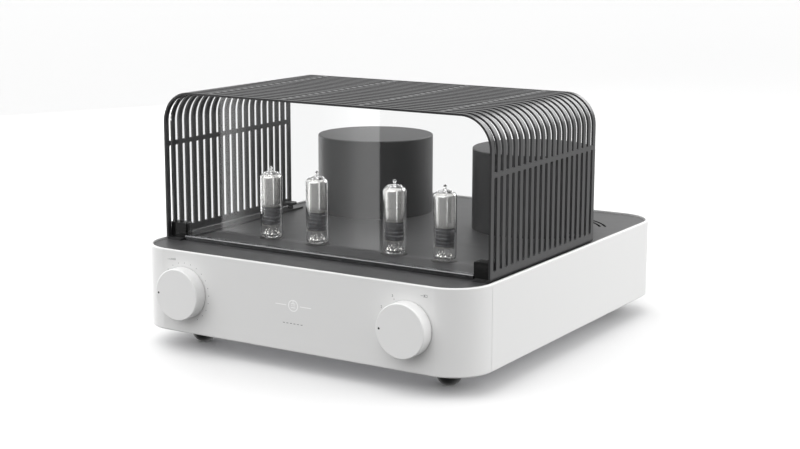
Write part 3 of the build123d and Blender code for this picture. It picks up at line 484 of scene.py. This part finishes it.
STEEL = metal("turned_steel", (0.50, 0.50, 0.51), 0.28, edge=0.3)
BLACK_STEEL = metal("black_oxide", (0.055, 0.055, 0.057), 0.38, lines=0.35, edge=0.3)
ZINC = metal("zinc_sheet", (0.50, 0.50, 0.52), 0.42, stretch=(300, 300, 300), lines=0.3, bump=0.004)
GOLD = metal("gold_plate", (0.78, 0.55, 0.22), 0.2, stretch=(2500, 120, 2500), lines=0.15, edge=0.2)
SILL_METAL = metal("sill_anodised", (0.17, 0.17, 0.175), 0.26, stretch=(60, 4000, 4000), lines=0.2,
                   edge=0.4)
PIN_METAL = metal("nickel_pins", (0.74, 0.73, 0.71), 0.16, lines=0.12)
COPPER = metal("copper_winding", (0.55, 0.22, 0.09), 0.34, stretch=(900, 900, 900), lines=0.4, bump=0.05)
print(len(bpy.data.materials), "materials so far")

# %% [markdown]
# Clear parts let lamp light through: a Light Path node swaps the glass for a clear shader on
# shadow rays, which is the usual stand-in for the light that real glass focuses and passes on.

# %% Glass
def glass(name, ior, roughness, tint=(1, 1, 1)):
    """Clear glass whose roughness drifts by a trace, as from wiping."""
    material, tree, shader, place = bare_material(name, IOR=ior, Transmission_Weight=1.0)
    smear = use_group(tree, GRAIN, place, Color=(*tint, 1), Roughness=roughness, Grain=700.0,
                      Shade_Spread=0.005, Gloss_Spread=0.004)
    tree.links.new(smear.outputs["Color"], shader.inputs["Base Color"])
    tree.links.new(smear.outputs["Roughness"], shader.inputs["Roughness"])
    clear = add_node(tree, "ShaderNodeBsdfTransparent", Color=(0.93, 0.93, 0.93, 1))
    path = tree.nodes.new("ShaderNodeLightPath")
    mix = tree.nodes.new("ShaderNodeMixShader")
    output = next(n for n in tree.nodes if n.type == "OUTPUT_MATERIAL")
    tree.links.new(path.outputs["Is Shadow Ray"], mix.inputs[0])
    tree.links.new(shader.outputs[0], mix.inputs[1])
    tree.links.new(clear.outputs[0], mix.inputs[2])
    tree.links.new(mix.outputs[0], output.inputs[0])
    return material


PANE = glass("clear_pane", 1.49, 0.004, (0.985, 0.99, 0.99))
BULB = glass("bulb_glass", 1.50, 0.004)

# %% [markdown]
# The silver patch in a tube's crown is the getter, a film of metal flashed on the inside of the
# glass. It is a mirror at the top and thins to nothing lower down, so its Alpha follows height.

# %% Getter film, mica and anode
GETTER_LOW, GETTER_HIGH = DECK + 28.0 * MM, DECK + 38.0 * MM


def getter_film():
    """Mirror metal, a little hazy, that fades out downwards."""
    material, tree, shader, place = bare_material("getter_film", Metallic=0.78)
    coat = use_group(tree, GRAIN, place, Color=(0.55, 0.545, 0.53, 1), Roughness=0.20, Grain=500.0,
                     Shade_Spread=0.15, Gloss_Spread=0.08)
    fade = use_group(tree, FADE, place, Low=GETTER_LOW, High=GETTER_HIGH, Ragged=0.002)
    tree.links.new(coat.outputs["Color"], shader.inputs["Base Color"])
    tree.links.new(coat.outputs["Roughness"], shader.inputs["Roughness"])
    tree.links.new(fade.outputs["Mask"], shader.inputs["Alpha"])
    return material


GETTER = getter_film()
MICA = painted("mica", (0.30, 0.29, 0.27), 0.14, grain=900, bump=0.01, edge=0.2, spread=(0.2, 0.2))
ANODE = metal("carbonised_anode", (0.085, 0.085, 0.09), 0.42, stretch=(1800, 1800, 200), lines=0.3,
              bump=0.01)
print(len(bpy.data.materials), "materials")

# %% [markdown]
# ## Giving the CAD nodes their finishes
# The record names a material slot for each node. One table says which finish stands for each slot,
# and the nodes are dressed in a loop. The sill is bare anodised metal, unlike the
# rest of its slot, so it is dressed apart.

# %% Dress the CAD nodes
SLOT_FINISH = {
    "white_casing": WHITE, "dark_deck": DECK_BLACK, "can_enamel": CAN_BLACK, "cage_coat": CAGE_BLACK,
    "pane_glass": PANE, "clamp_black": CLAMP_BLACK, "knob_white": KNOB_WHITE, "marker_dark": MARKER,
    "steel": STEEL, "black_steel": BLACK_STEEL, "zinc_plate": ZINC, "rubber": RUBBER,
    "tube_glass": BULB, "electrode_metal": ANODE, "pin_metal": PIN_METAL,
    "socket_phenolic": SOCKET_BLACK, "copper_winding": COPPER, "board": BOARD,
    "capacitor_sleeve": SLEEVE, "brass": GOLD, "black_plastic": BLACK_PLASTIC,
    "red_plastic": RED_PLASTIC,
}
for part in frame["record"]["subparts"]:
    dressed = frame["nodes"][part["node"]]
    for held in dressed.material_slots:
        held.material = SLOT_FINISH[part["material_slot"]]
    if not dressed.material_slots:
        dressed.data.materials.append(SLOT_FINISH[part["material_slot"]])
frame["nodes"]["pane_sill"].material_slots[0].material = SILL_METAL
for node in ("tube_board", "board_standoffs", "transformer_bolts"):
    print(node, "wears", frame["nodes"][node].material_slots[0].material.name)

# %% [markdown]
# ## A tube
# Each tube is a blown bottle on a pressed glass button with nine stiff pins. It could be turned
# from one profile and left at that, but what makes a tube look like a tube is the thick glass: the
# lens at the rounded foot, the glass beads round the pins and the fused tip. So the bottle is made
# of two closed surfaces, the outside and the cavity, and light is bent at both.

# %% The bottle's outside and its cavity
PIN_RING = 5.945
PIN_ANGLES = np.radians(18 + 36 * np.arange(9))
COLUMNS = 90


def arc(centre, radii, start, stop, count):
    """Points on an ellipse, from one angle to the other, as (radius, height) pairs."""
    t = np.radians(np.linspace(start, stop, count))
    return np.stack([centre[0] + radii[0] * np.cos(t), centre[1] + radii[1] * np.sin(t)], 1)


def beads(radius, angle, height, spread):
    """Glass beads round the pins: the sum over nine pins of height * exp(-(distance/spread)^2)."""
    x, y = radius * np.cos(angle), radius * np.sin(angle)
    px, py = PIN_RING * np.cos(PIN_ANGLES), PIN_RING * np.sin(PIN_ANGLES)
    gap = (x[..., None] - px) ** 2 + (y[..., None] - py) ** 2
    return (height * np.exp(-gap / spread**2)).sum(-1)


def bottle_outside():
    """Flat foot, rounded lower edge, straight wall, elliptic shoulder, shallow cone, waisted
    neck and the round blob where the pump stem was sealed off."""
    foot = np.stack([np.linspace(0, 7.2, 5), np.full(5, 0.6)], 1)
    edge = arc((7.2, 5.0), (2.8, 4.4), -90, 0, 12)[1:]
    wall = np.stack([np.full(6, 10.0), np.linspace(8, 54.0, 6)], 1)
    shoulder = arc((5.2, 54.6), (4.8, 4.3), 5, 72, 12)
    cone = np.stack([np.linspace(6.1, 2.3, 5), np.linspace(59.0, 60.3, 5)], 1)
    neck = np.array([(1.6, 60.7), (1.2, 61.3), (1.1, 61.9)])
    blob = arc((0, 63.25), (1.5, 1.75), -45, 90, 10)
    blob[-1, 0] = 0
    return np.concatenate([foot, edge, wall, shoulder, cone, neck, blob])


def bottle_cavity():
    """The same bottle less its wall, closed under the neck and above the thick button."""
    floor = np.stack([np.linspace(0, 8.0, 22), np.full(22, 2.7)], 1)
    edge = arc((7.9, 4.6), (1.3, 1.9), -80, 0, 6)
    wall = np.stack([np.full(6, 9.2), np.linspace(8, 53.6, 6)], 1)
    shoulder = arc((5.2, 54.4), (4.0, 3.6), 5, 72, 10)
    cone = np.stack([np.linspace(5.6, 0.0, 5), np.linspace(58.0, 59.3, 5)], 1)
    return np.concatenate([floor, edge, wall, shoulder, cone])


def polar(profile, lift, outward):
    """A lathe surface whose heights are raised by lift(radius, angle)."""
    t = np.linspace(0, 2 * np.pi, COLUMNS, endpoint=False)
    radius = np.broadcast_to(profile[:, :1], (len(profile), COLUMNS))
    height = profile[:, 1:] + lift(radius, np.broadcast_to(t, radius.shape))
    points = np.stack([radius * np.cos(t), radius * np.sin(t), height], -1)
    return points.reshape(-1, 3) * MM, grid_faces(len(profile), COLUMNS, outward)


def cavity_lift(radius, angle):
    """Beads on the button only: they fade out where the floor turns up into the wall."""
    return beads(radius, angle, 2.1, 1.15) * np.clip((8.4 - radius) / 0.8, 0, 1)


OUTSIDE = polar(bottle_outside(), lambda r, t: 0 * r, True)
CAVITY = polar(bottle_cavity(), cavity_lift, False)
print("bottle points", len(OUTSIDE[0]), "cavity points", len(CAVITY[0]))

# %% [markdown]
# The getter film is a thin closed shell that hugs the cavity's upper part. Mica discs with small
# teeth hold the electrodes and touch the glass. Between them stands the dark anode with its
# folded seams; below, nine soft wires run from the pins up to the lower mica.

# %% The getter film
MICA_LOW, MICA_HIGH = 11.7, 28.9
GETTER_RING_Z = 44.0


def film_shell():
    """Up the cavity's profile 0.06 inside the glass, and back down 0.11 inside."""
    cavity = bottle_cavity()
    crown = cavity[cavity[:, 1] > 53.5]
    wall = np.stack([np.full(8, 9.2), np.linspace(29.2, 53.0, 8)], 1)
    profile = np.concatenate([wall, crown])
    inset = np.where(profile[:, 1:] > 58.5, [[0.0, -0.12]], [[-0.06, 0.0]])
    outer = profile + inset
    inner = (profile + inset * 1.8)[::-1]
    outer[-1, 0] = inner[0, 0] = 0
    loop = np.concatenate([outer, inner, outer[:1]])
    return lathe(loop, (0, 0, 0), COLUMNS)


FILM = film_shell()


# %% Micas, anode and supports
def mica_disc(height, thickness=0.3, reach=8.9):
    """A disc with twelve small teeth: the rim's radius is the reach plus a narrow cosine peak."""
    t = np.linspace(0, 2 * np.pi, 120, endpoint=False)
    rim = reach - 0.75 + 0.75 * np.clip(np.cos(12 * t), 0.25, 1)
    levels = [(0.0, height), (0.55, height), (1.0, height), (1.0, height + thickness),
              (0.55, height + thickness), (0.0, height + thickness)]
    rings = [np.stack([rim * share * np.cos(t), rim * share * np.sin(t), np.full(120, z)], -1)
             for share, z in levels]
    return np.stack(rings).reshape(-1, 3) * MM, grid_faces(len(levels), 120)


def anode_box():
    """A flattened oval tube, |x/a|^3 + |y/b|^3 = 1, that steps in at its five pressed ribs."""
    t = np.linspace(0, 2 * np.pi, 72, endpoint=False)
    oval = np.stack([7.9 * np.sign(np.cos(t)) * np.abs(np.cos(t)) ** (2 / 3),
                     6.2 * np.sign(np.sin(t)) * np.abs(np.sin(t)) ** (2 / 3)], -1)
    z = np.linspace(MICA_LOW + 0.8, MICA_HIGH - 0.6, 61)
    rib = 1 + 0.035 * np.clip(np.cos((z - z[0]) * 2 * np.pi / 3.2) * 3, -1, 1)
    walls = np.concatenate([oval * r for r in rib]).reshape(len(z), 72, 2)
    rise = np.broadcast_to(z[:, None, None], (len(z), 72, 1))
    body = np.concatenate([walls, rise], -1)
    caps = [np.concatenate([walls[k] * 0.0, rise[k]], -1)[None] for k in (0, -1)]
    rings = np.concatenate([caps[0], body, caps[1]])
    return rings.reshape(-1, 3) * MM, grid_faces(len(rings), 72)


def upright(x, y, low, high, radius, sides=10):
    """A straight rod from one height to the other."""
    z = np.linspace(low, high, 4)
    return wire(np.stack([np.full(4, x), np.full(4, y), z], 1), radius, sides)


def lead(angle, number):
    """A soft wire from a pin to the mica: radius and angle ease over with a half cosine."""
    ease = (1 - np.cos(np.linspace(0, np.pi, 9))) / 2
    radius = PIN_RING + ease * (2.2 + 1.1 * (number % 3) - PIN_RING)
    turn = angle + ease * (0.25 if number % 2 else -0.2)
    z = np.linspace(4.9, MICA_LOW + 0.1, 9)
    return wire(np.stack([radius * np.cos(turn), radius * np.sin(turn), z], 1), 0.22, 7)


def getter_ring():
    """A small round wire ring, standing on one rod above the upper mica."""
    t = np.linspace(0, 2 * np.pi, 33)
    return wire(np.stack([2.6 * np.cos(t), 2.6 * np.sin(t), np.full(33, GETTER_RING_Z)], 1), 0.35, 8)


ANODES = [anode_box(), upright(-7.7, 0, MICA_LOW - 1.2, MICA_HIGH + 1.4, 0.42),
          upright(7.7, 0, MICA_LOW - 1.2, MICA_HIGH + 1.4, 0.42)]
RODS = [upright(x, y, MICA_LOW - 1.6, MICA_HIGH + 1.8, 0.3)
        for x in (-3.0, 0.0, 3.0) for y in (-1.5, 1.5)]
RODS += [upright(2.6, 0, MICA_HIGH, GETTER_RING_Z, 0.3), getter_ring()]
RODS += [lead(angle, number) for number, angle in enumerate(PIN_ANGLES)]
MICAS = [mica_disc(MICA_LOW), mica_disc(MICA_HIGH)]


def pin_shapes():
    """Nine pins with rounded lower ends; inside the bottle each swells into a bright weld knob."""
    profile = np.concatenate([arc((0, -6.0), (0.5, 0.5), -90, 0, 4), [(0.508, 0.0), (0.508, 2.2)],
                              arc((0.1, 3.5), (0.95, 1.2), -50, 60, 7), [(0.25, 5.3), (0, 5.4)]])
    profile[0, 0] = 0
    places = PIN_RING * np.stack([np.cos(PIN_ANGLES), np.sin(PIN_ANGLES), 0 * PIN_ANGLES], 1) * MM
    return [shift(lathe(profile, (0, 0, 0), 12), place) for place in places]


PINS = pin_shapes()

# %% Four tubes in their sockets
for number in TUBES:
    axis = middle(f"tube_{number}_glass")
    foot = (axis.x, axis.y, DECK)
    body = f"tube_{number}"
    walls = [shift(OUTSIDE, foot), shift(CAVITY, foot)]
    bottle = piece(f"{body}_bottle", walls, BULB, body)
    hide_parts(f"tube_{number}_glass")
    piece(f"{body}_getter", [shift(FILM, foot)], GETTER, body)
    anode = piece(f"{body}_anode", [shift(s, foot) for s in ANODES], ANODE, body)
    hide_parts(f"tube_{number}_electrodes")
    piece(f"{body}_micas", [shift(s, foot) for s in MICAS], MICA, body)
    piece(f"{body}_rods", [shift(s, foot) for s in RODS], PIN_METAL, body)
    pins = piece(f"{body}_pin_set", [shift(s, foot) for s in PINS], PIN_METAL, body)
    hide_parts(f"tube_{number}_pins")

# %% [markdown]
# ## Printed marks on the front
# The front carries a fine scale of dots round the volume knob, numbered places at the source knob
# and small marks. Print could be a texture, but thin raised ink, three hundredths of a millimetre
# thick, stays sharp at any size and is simple to place. The maker's words are left out: a wedge of
# bars stands for volume, an arrow into a box for source, and the middle carries a plain tube sign.

# %% Dots, bars and rings of ink
INK = 0.03 * MM
INK_FRONT = FASCIA - INK


def dot(x, z, radius, count=14):
    """A round outline of ink."""
    t = np.linspace(0, 2 * np.pi, count, endpoint=False)
    return prism(np.stack([x + radius * MM * np.cos(t), z + radius * MM * np.sin(t)], 1), INK_FRONT, INK)


def bar(x, z, width, height):
    """An upright rectangle of ink; x and z are its lower left corner."""
    corners = [(0, 0), (width, 0), (width, height), (0, height)]
    return prism([(x + a * MM, z + b * MM) for a, b in corners], INK_FRONT, INK)


def ring(x, z, outer, inner, count=48):
    """A band of ink between two circles, closed front, rim, back and bore."""
    t = np.linspace(0, 2 * np.pi, count, endpoint=False)
    levels = [(inner, INK_FRONT), (outer, INK_FRONT), (outer, FASCIA), (inner, FASCIA),
              (inner, INK_FRONT)]
    rings = [np.stack([x + r * MM * np.cos(t), np.full(count, y), z + r * MM * np.sin(t)], -1)
             for r, y in levels]
    return np.stack(rings).reshape(-1, 3), grid_faces(len(levels), count, outward=False)


def stroke(points, width):
    """A broken line of ink, each run a slim box along it."""
    shells = []
    for (x0, z0), (x1, z1) in zip(points[:-1], points[1:]):
        along = np.array([x1 - x0, z1 - z0])
        side = np.array([-along[1], along[0]]) / np.hypot(*along) * width / 2 * MM
        a, b = np.array([x0, z0]), np.array([x1, z1])
        shells.append(prism([a - side, b - side, b + side, a + side], INK_FRONT, INK))
    return shells


# %% The volume scale and its sign
VOLUME_ANGLES = np.radians(240 - 15 * np.arange(21))
VOLUME_RING, SOURCE_RING, NUMBER_RING = 26.0 * MM, 25.4 * MM, 28.4 * MM
volume_marks = [dot(VOLUME.x + VOLUME_RING * math.cos(a), VOLUME.z + VOLUME_RING * math.sin(a), 0.36)
                for a in VOLUME_ANGLES]
SIGN_Z = VOLUME.z + 28.2 * MM
volume_marks += [bar(VOLUME.x - 18.6 * MM + 1.15 * MM * k, SIGN_Z - 0.9 * MM, 0.55, 0.4 + 0.21 * k)
                 for k in range(8)]
piece("volume_scale_print", volume_marks, PRINT_GREY, "chassis")

# %% Source places: dots and generic numbers
source_marks = [dot(SOURCE.x + SOURCE_RING * math.cos(a), SOURCE.z + SOURCE_RING * math.sin(a), 0.42)
                for a in np.radians([180, 150, 120])]
box_x, box_z = SOURCE.x + 14.6 * MM, SIGN_Z
source_marks += stroke([(box_x, box_z - 0.9 * MM), (box_x + 3.4 * MM, box_z - 0.9 * MM),
                        (box_x + 3.4 * MM, box_z + 0.9 * MM), (box_x, box_z + 0.9 * MM)], 0.28)
source_marks += stroke([(box_x - 2.6 * MM, box_z), (box_x + 1.4 * MM, box_z)], 0.28)
source_marks += stroke([(box_x + 0.5 * MM, box_z + 0.7 * MM), (box_x + 1.5 * MM, box_z),
                        (box_x + 0.5 * MM, box_z - 0.7 * MM)], 0.28)
piece("source_scale_print", source_marks, PRINT_GREY, "chassis")


def number_print(name, text, x, z, size, face, turned=False, material=PRINT_GREY):
    """A text object becomes a mesh first, and only then its points are put in place: text lies in
    X and Y, so Y becomes Z, and for the rear X is turned round. The ink lies on the face."""
    curve = bpy.data.curves.new(name, "FONT")
    curve.body, curve.size, curve.extrude = text, size * MM, INK / 2
    curve.align_x, curve.align_y = "CENTER", "CENTER"
    curve.resolution_u = 3
    holder = bpy.data.objects.new(name + "_text", curve)
    bpy.context.scene.collection.objects.link(holder)
    depsgraph = bpy.context.evaluated_depsgraph_get()
    flat = bpy.data.meshes.new_from_object(holder.evaluated_get(depsgraph))
    bpy.data.objects.remove(holder)
    sign = -1 if turned else 1
    middle_y = face - sign * INK / 2
    flat.transform(Matrix(((sign, 0, 0, x), (0, 0, -sign, middle_y), (0, 1, 0, z), (0, 0, 0, 1))))
    tidy = bmesh.new()
    tidy.from_mesh(flat)
    bmesh.ops.remove_doubles(tidy, verts=tidy.verts, dist=0.001 * MM)
    bmesh.ops.recalc_face_normals(tidy, faces=tidy.faces)
    tidy.to_mesh(flat)
    tidy.free()
    flat.materials.clear()
    flat.materials.append(material)
    made = bpy.data.objects.new(name, flat)
    bpy.context.scene.collection.objects.link(made)
    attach(made, "chassis")
    return made


for text, angle in (("1", 180), ("2", 150), ("3", 120)):
    turn = math.radians(angle)
    number_print(f"source_number_{text}", text, SOURCE.x + NUMBER_RING * math.cos(turn),
                 SOURCE.z + NUMBER_RING * math.sin(turn), 3.0, FASCIA)

# %% The emblem: a tube sign between two level lines, and a row of dashes below
EMBLEM_X, EMBLEM_Z = 1.8 * MM, DECK - 31.3 * MM
emblem = [ring(EMBLEM_X, EMBLEM_Z, 5.0, 4.2)]
emblem += [bar(EMBLEM_X - 2.2 * MM, EMBLEM_Z + 1.4 * MM, 4.4, 0.7),
           bar(EMBLEM_X - 0.35 * MM, EMBLEM_Z + 2.0 * MM, 0.7, 2.4),
           bar(EMBLEM_X - 2.2 * MM, EMBLEM_Z - 2.0 * MM, 4.4, 0.7)]
emblem += [bar(EMBLEM_X + k * 1.5 * MM - 0.35 * MM, EMBLEM_Z - 0.2 * MM, 0.7, 0.7) for k in (-1, 0, 1)]
emblem += [bar(EMBLEM_X + 7.0 * MM, EMBLEM_Z - 0.35 * MM, 11.0, 0.7),
           bar(EMBLEM_X - 18.0 * MM, EMBLEM_Z - 0.35 * MM, 11.0, 0.7)]
piece("front_emblem", emblem, PRINT_WHITE, "chassis")
dashes = [bar(EMBLEM_X - 10.6 * MM + 3.6 * MM * k, EMBLEM_Z - 15.6 * MM, 2.0, 0.5) for k in range(6)]
piece("front_dashes", dashes, PRINT_GREY, "chassis")

# %% [markdown]
# ## Small hardware at the rear
# The rear panel carries what a stranger would plug into, so it gets its small parts: the coloured
# insulators in the ends of the line jacks, six screws that hold the panel, and plain signs. A
# screw's cross could be cut out with a second solid, but a head is small and turned, so one polar
# grid does: its height is a dome less a cross.

# %% A screw head with a cross, and a flat collar
def cross_screw(x, z, face, radius):
    """A pan head that faces +Y. Height over the face: a dome, 1.3 * sqrt(1 - 0.7 share^2), less
    0.7 where the nearer of the two arms' middle lines is within 0.36, out to 0.6 of the radius."""
    t = np.linspace(0, 2 * np.pi, 96, endpoint=False)
    share = np.concatenate([[1.0], np.linspace(1.0, 0.0, 22)])[:, None]
    u, v = radius * share * np.cos(t), radius * share * np.sin(t)
    arm = np.clip((0.46 - np.minimum(abs(u), abs(v))) / 0.15, 0, 1)
    reach = np.clip((0.62 * radius - np.hypot(u, v)) / 0.2, 0, 1)
    height = 1.3 * np.sqrt(1 - 0.7 * share**2) - 0.7 * arm * reach
    height[0] = 0
    under = np.zeros((1, 96, 3))
    points = np.concatenate([under, np.stack([v, height, u], -1)]).reshape(-1, 3) * MM
    return points + [x, face, z], grid_faces(len(share) + 1, 96)


def collar(x, z, face, outer, inner, thick):
    """A flat ring about Y, closed front, rim, back and bore."""
    profile = [(inner, 0), (outer, 0), (outer, thick), (inner, thick), (inner, 0)]
    return lathe(profile, (x, face, z), 40, axis="Y")


REAR_Z = middle("rear_panel").z
SCREW_XS, SCREW_RISE, JACK_RISE, SIGN_RISE = (-123.5, 45.5, 123.5), 20.5 * MM, 9.0 * MM, 20.0 * MM
screws = [cross_screw(x * MM, REAR_Z + side * SCREW_RISE, PANEL, 2.6)
          for x in SCREW_XS for side in (-1, 1)]
piece("rear_panel_screws", screws, STEEL, "chassis")

JACK_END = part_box("rca_jacks")[1].y
JACK_XS = [-10 * MM, 9 * MM, 28 * MM]
CHANNELS = [("right", -1, RED_PLASTIC, "red_plastic"), ("left", 1, PRINT_WHITE, "white_casing")]
for name, side, material, slot in CHANNELS:
    collars = [collar(x, REAR_Z + side * JACK_RISE, JACK_END, 3.3, 1.75, 0.15) for x in JACK_XS]
    piece(f"line_jack_collars_{name}", collars, material, "chassis")

# %% Plain signs: input numbers, and plus and minus at the speaker posts
REAR_SIGNS = [("1", 28.0), ("2", 9.0), ("3", -10.0), ("+", -42.95), ("-", -62.0), ("+", -92.95),
              ("-", -112.0)]
for count, (sign, x) in enumerate(REAR_SIGNS):
    number_print(f"rear_sign_{count}", sign, x * MM, REAR_Z + SIGN_RISE, 4.4, PANEL, turned=True,
                 material=PRINT_WHITE)
print("rear panel face", round(PANEL, 4), "signs", len(REAR_SIGNS))

# %% [markdown]
# ## The studio
# A plain pale floor and soft light. Panels of light stand round the amplifier as softboxes would:
# a tall one at the front left, whose image lies across the clear pane and down each tube; a wide
# one at the left; a high one behind on the right that draws the cage's bends; and an overhead one.
# Panels are seen in reflections but not by the camera. The floor is kept out of sharp reflections,
# as if the amplifier stood on a raised table with dark space in front of it.

# %% Floor
def stage_floor():
    """A pale round floor: the grid's rows grow with the radius, so that the far part stays light."""
    t = np.linspace(0, 2 * np.pi, 48, endpoint=False)
    radii = np.array([0.0, 1.0, 3.0, 9.0, 30.0])
    x, y = radii[:, None] * np.cos(t), radii[:, None] * np.sin(t)
    points = np.stack([x, y, np.zeros_like(x)], -1).reshape(-1, 3)
    mesh = bpy.data.meshes.new("floor")
    mesh.from_pydata(points.tolist(), [], grid_faces(len(radii), 48, outward=False).tolist())
    ground = bpy.data.objects.new("floor", mesh)
    bpy.context.scene.collection.objects.link(ground)
    mesh.materials.append(painted("pale_floor", (0.80, 0.80, 0.80), 0.7, grain=40, bump=0.0,
                                  spread=(0.01, 0.02)))
    ground.visible_glossy = ground.visible_transmission = ground.visible_diffuse = False
    return ground


floor = stage_floor()


# %% Panels of light
def panel(name, place, target, width, height, radiance, mirrored=True, lighting=False):
    """An area light of even brightness. Its power is radiance * pi * its area. A mirrored panel is
    seen in gloss and through glass; a lighting one falls on matt surfaces."""
    light = bpy.data.lights.new(name, "AREA")
    light.shape = "RECTANGLE"
    light.size, light.size_y = width, height
    light.energy = radiance * math.pi * width * height
    lamp = bpy.data.objects.new(name, light)
    lamp.location = place
    lamp.rotation_euler = (Vector(target) - Vector(place)).to_track_quat("-Z", "Y").to_euler()
    lamp.visible_camera = False
    lamp.visible_glossy = mirrored
    lamp.visible_transmission = mirrored
    lamp.visible_diffuse = lighting
    bpy.context.scene.collection.objects.link(lamp)
    return lamp


def shade_across(lamp, stops):
    """Brightness along the panel's width, as a ramp of (place, brightness) on its own parameter."""
    lamp.data.use_nodes = True
    tree = lamp.data.node_tree
    tree.nodes.clear()
    geometry = tree.nodes.new("ShaderNodeNewGeometry")
    parts = tree.nodes.new("ShaderNodeSeparateXYZ")
    ramp = tree.nodes.new("ShaderNodeValToRGB")
    glow = tree.nodes.new("ShaderNodeEmission")
    output = tree.nodes.new("ShaderNodeOutputLight")
    while len(ramp.color_ramp.elements) < len(stops):
        ramp.color_ramp.elements.new(1.0)
    for element, (place, value) in zip(ramp.color_ramp.elements, stops):
        element.position, element.color = place, (value, value, value, 1)
    tree.links.new(geometry.outputs["Parametric"], parts.inputs[0])
    tree.links.new(parts.outputs["X"], ramp.inputs["Fac"])
    tree.links.new(ramp.outputs["Color"], glow.inputs["Color"])
    tree.links.new(glow.outputs[0], output.inputs[0])


veil = panel("strip_front_left", (-0.609, -0.953, 0.2), (-0.609, 0.0, 0.2), 0.29, 1.6, 1.6)
shade_across(veil, [(0.0, 1.0), (0.07, 0.92), (0.12, 0.6), (0.18, 0.2), (0.26, 0.03), (0.64, 0.03),
                    (0.72, 0.2), (0.80, 0.42), (0.88, 0.8), (0.94, 0.88), (1.0, 0.9)])
panel("wall_left", (-1.0, -0.225, 0.2), (0.0, -0.225, 0.2), 1.65, 1.6, 2.1)
panel("strip_front_right", (0.94, -0.70, 0.35), (0.0, -0.1, 0.35), 0.16, 1.5, 2.6)
panel("high_back_right", (0.45, 1.5, 1.0), (0.15, 0.0, 0.2), 1.4, 0.9, 4.3)

# The two fills light the white casing, the knobs and the floor alone, so that the cage's slots
# stay dark.
lit = bpy.data.collections.new("lit_by_fills")
lit.objects.link(floor)
for node in ("front_fascia", "rear_wrap", "volume_knob", "source_knob"):
    lit.objects.link(frame["nodes"][node])
FILLS = [("fill_right", (1.35, 0.50, 0.6), 3.2), ("fill_left", (-1.35, 0.65, 0.6), 2.4)]
for name, place, radiance in FILLS:
    fill = panel(name, place, (0.0, 0.0, 0.05), 1.2, 1.2, radiance, mirrored=False, lighting=True)
    fill.light_linking.receiver_collection = lit

overhead = bpy.data.lights.new("overhead", "SUN")
overhead.energy, overhead.angle = 1.9, math.radians(80)
overhead_lamp = bpy.data.objects.new("overhead", overhead)
overhead_lamp.rotation_euler = Vector((-0.16, -0.60, 0.79)).to_track_quat("Z", "Y").to_euler()
overhead_lamp.visible_glossy = False
bpy.context.scene.collection.objects.link(overhead_lamp)


# %% The room: even for matt surfaces; for gloss it is white behind and above, dark in front
def room_shader():
    """Brightness by direction. Matt surfaces get two even halves. Gloss gets a smooth step along Y
    from dark to white, less just above the horizon, and a bright ceiling; what is seen in gloss
    through glass gets a paler front, as from a table top."""
    world = bpy.data.worlds.new("room")
    bpy.context.scene.world = world
    world.use_nodes = True
    room = world.node_tree
    room.nodes.clear()
    direction = room.nodes.new("ShaderNodeTexCoord")
    parts = room.nodes.new("ShaderNodeSeparateXYZ")
    room.links.new(direction.outputs["Generated"], parts.inputs[0])

    def step(axis, low, high, start, end):
        node = add_node(room, "ShaderNodeMapRange", interpolation_type="SMOOTHSTEP", From_Min=low,
                        From_Max=high, To_Min=start, To_Max=end)
        room.links.new(parts.outputs[axis], node.inputs["Value"])
        return node.outputs["Result"]

    path = room.nodes.new("ShaderNodeLightPath")
    behind = step("Y", -0.1, 0.35, 0.0, 1.0)
    backdrop = step("Z", 0.02, 0.16, 1.0, 0.62)
    front = maths(room, "MULTIPLY_ADD", path.outputs["Is Transmission Ray"], 0.30, 0.09)
    away = maths(room, "SUBTRACT", 1.0, behind)
    mirrored = maths(room, "MULTIPLY_ADD", behind, backdrop, maths(room, "MULTIPLY", away, front))
    mirrored = maths(room, "ADD", mirrored, step("Z", 0.45, 0.72, 0.0, 2.4))
    matt_or_gloss = room.nodes.new("ShaderNodeMix")
    room.links.new(path.outputs["Is Diffuse Ray"], matt_or_gloss.inputs[0])
    room.links.new(mirrored, matt_or_gloss.inputs[2])
    room.links.new(step("Z", -0.1, 0.1, 0.28, 0.60), matt_or_gloss.inputs[3])
    air = add_node(room, "ShaderNodeBackground", Color=(1, 1, 1, 1))
    room.links.new(matt_or_gloss.outputs[0], air.inputs["Strength"])
    output = room.nodes.new("ShaderNodeOutputWorld")
    room.links.new(air.outputs[0], output.inputs[0])


room_shader()
bpy.context.scene.view_settings.view_transform = "Standard"
bpy.context.scene.view_settings.look = "None"
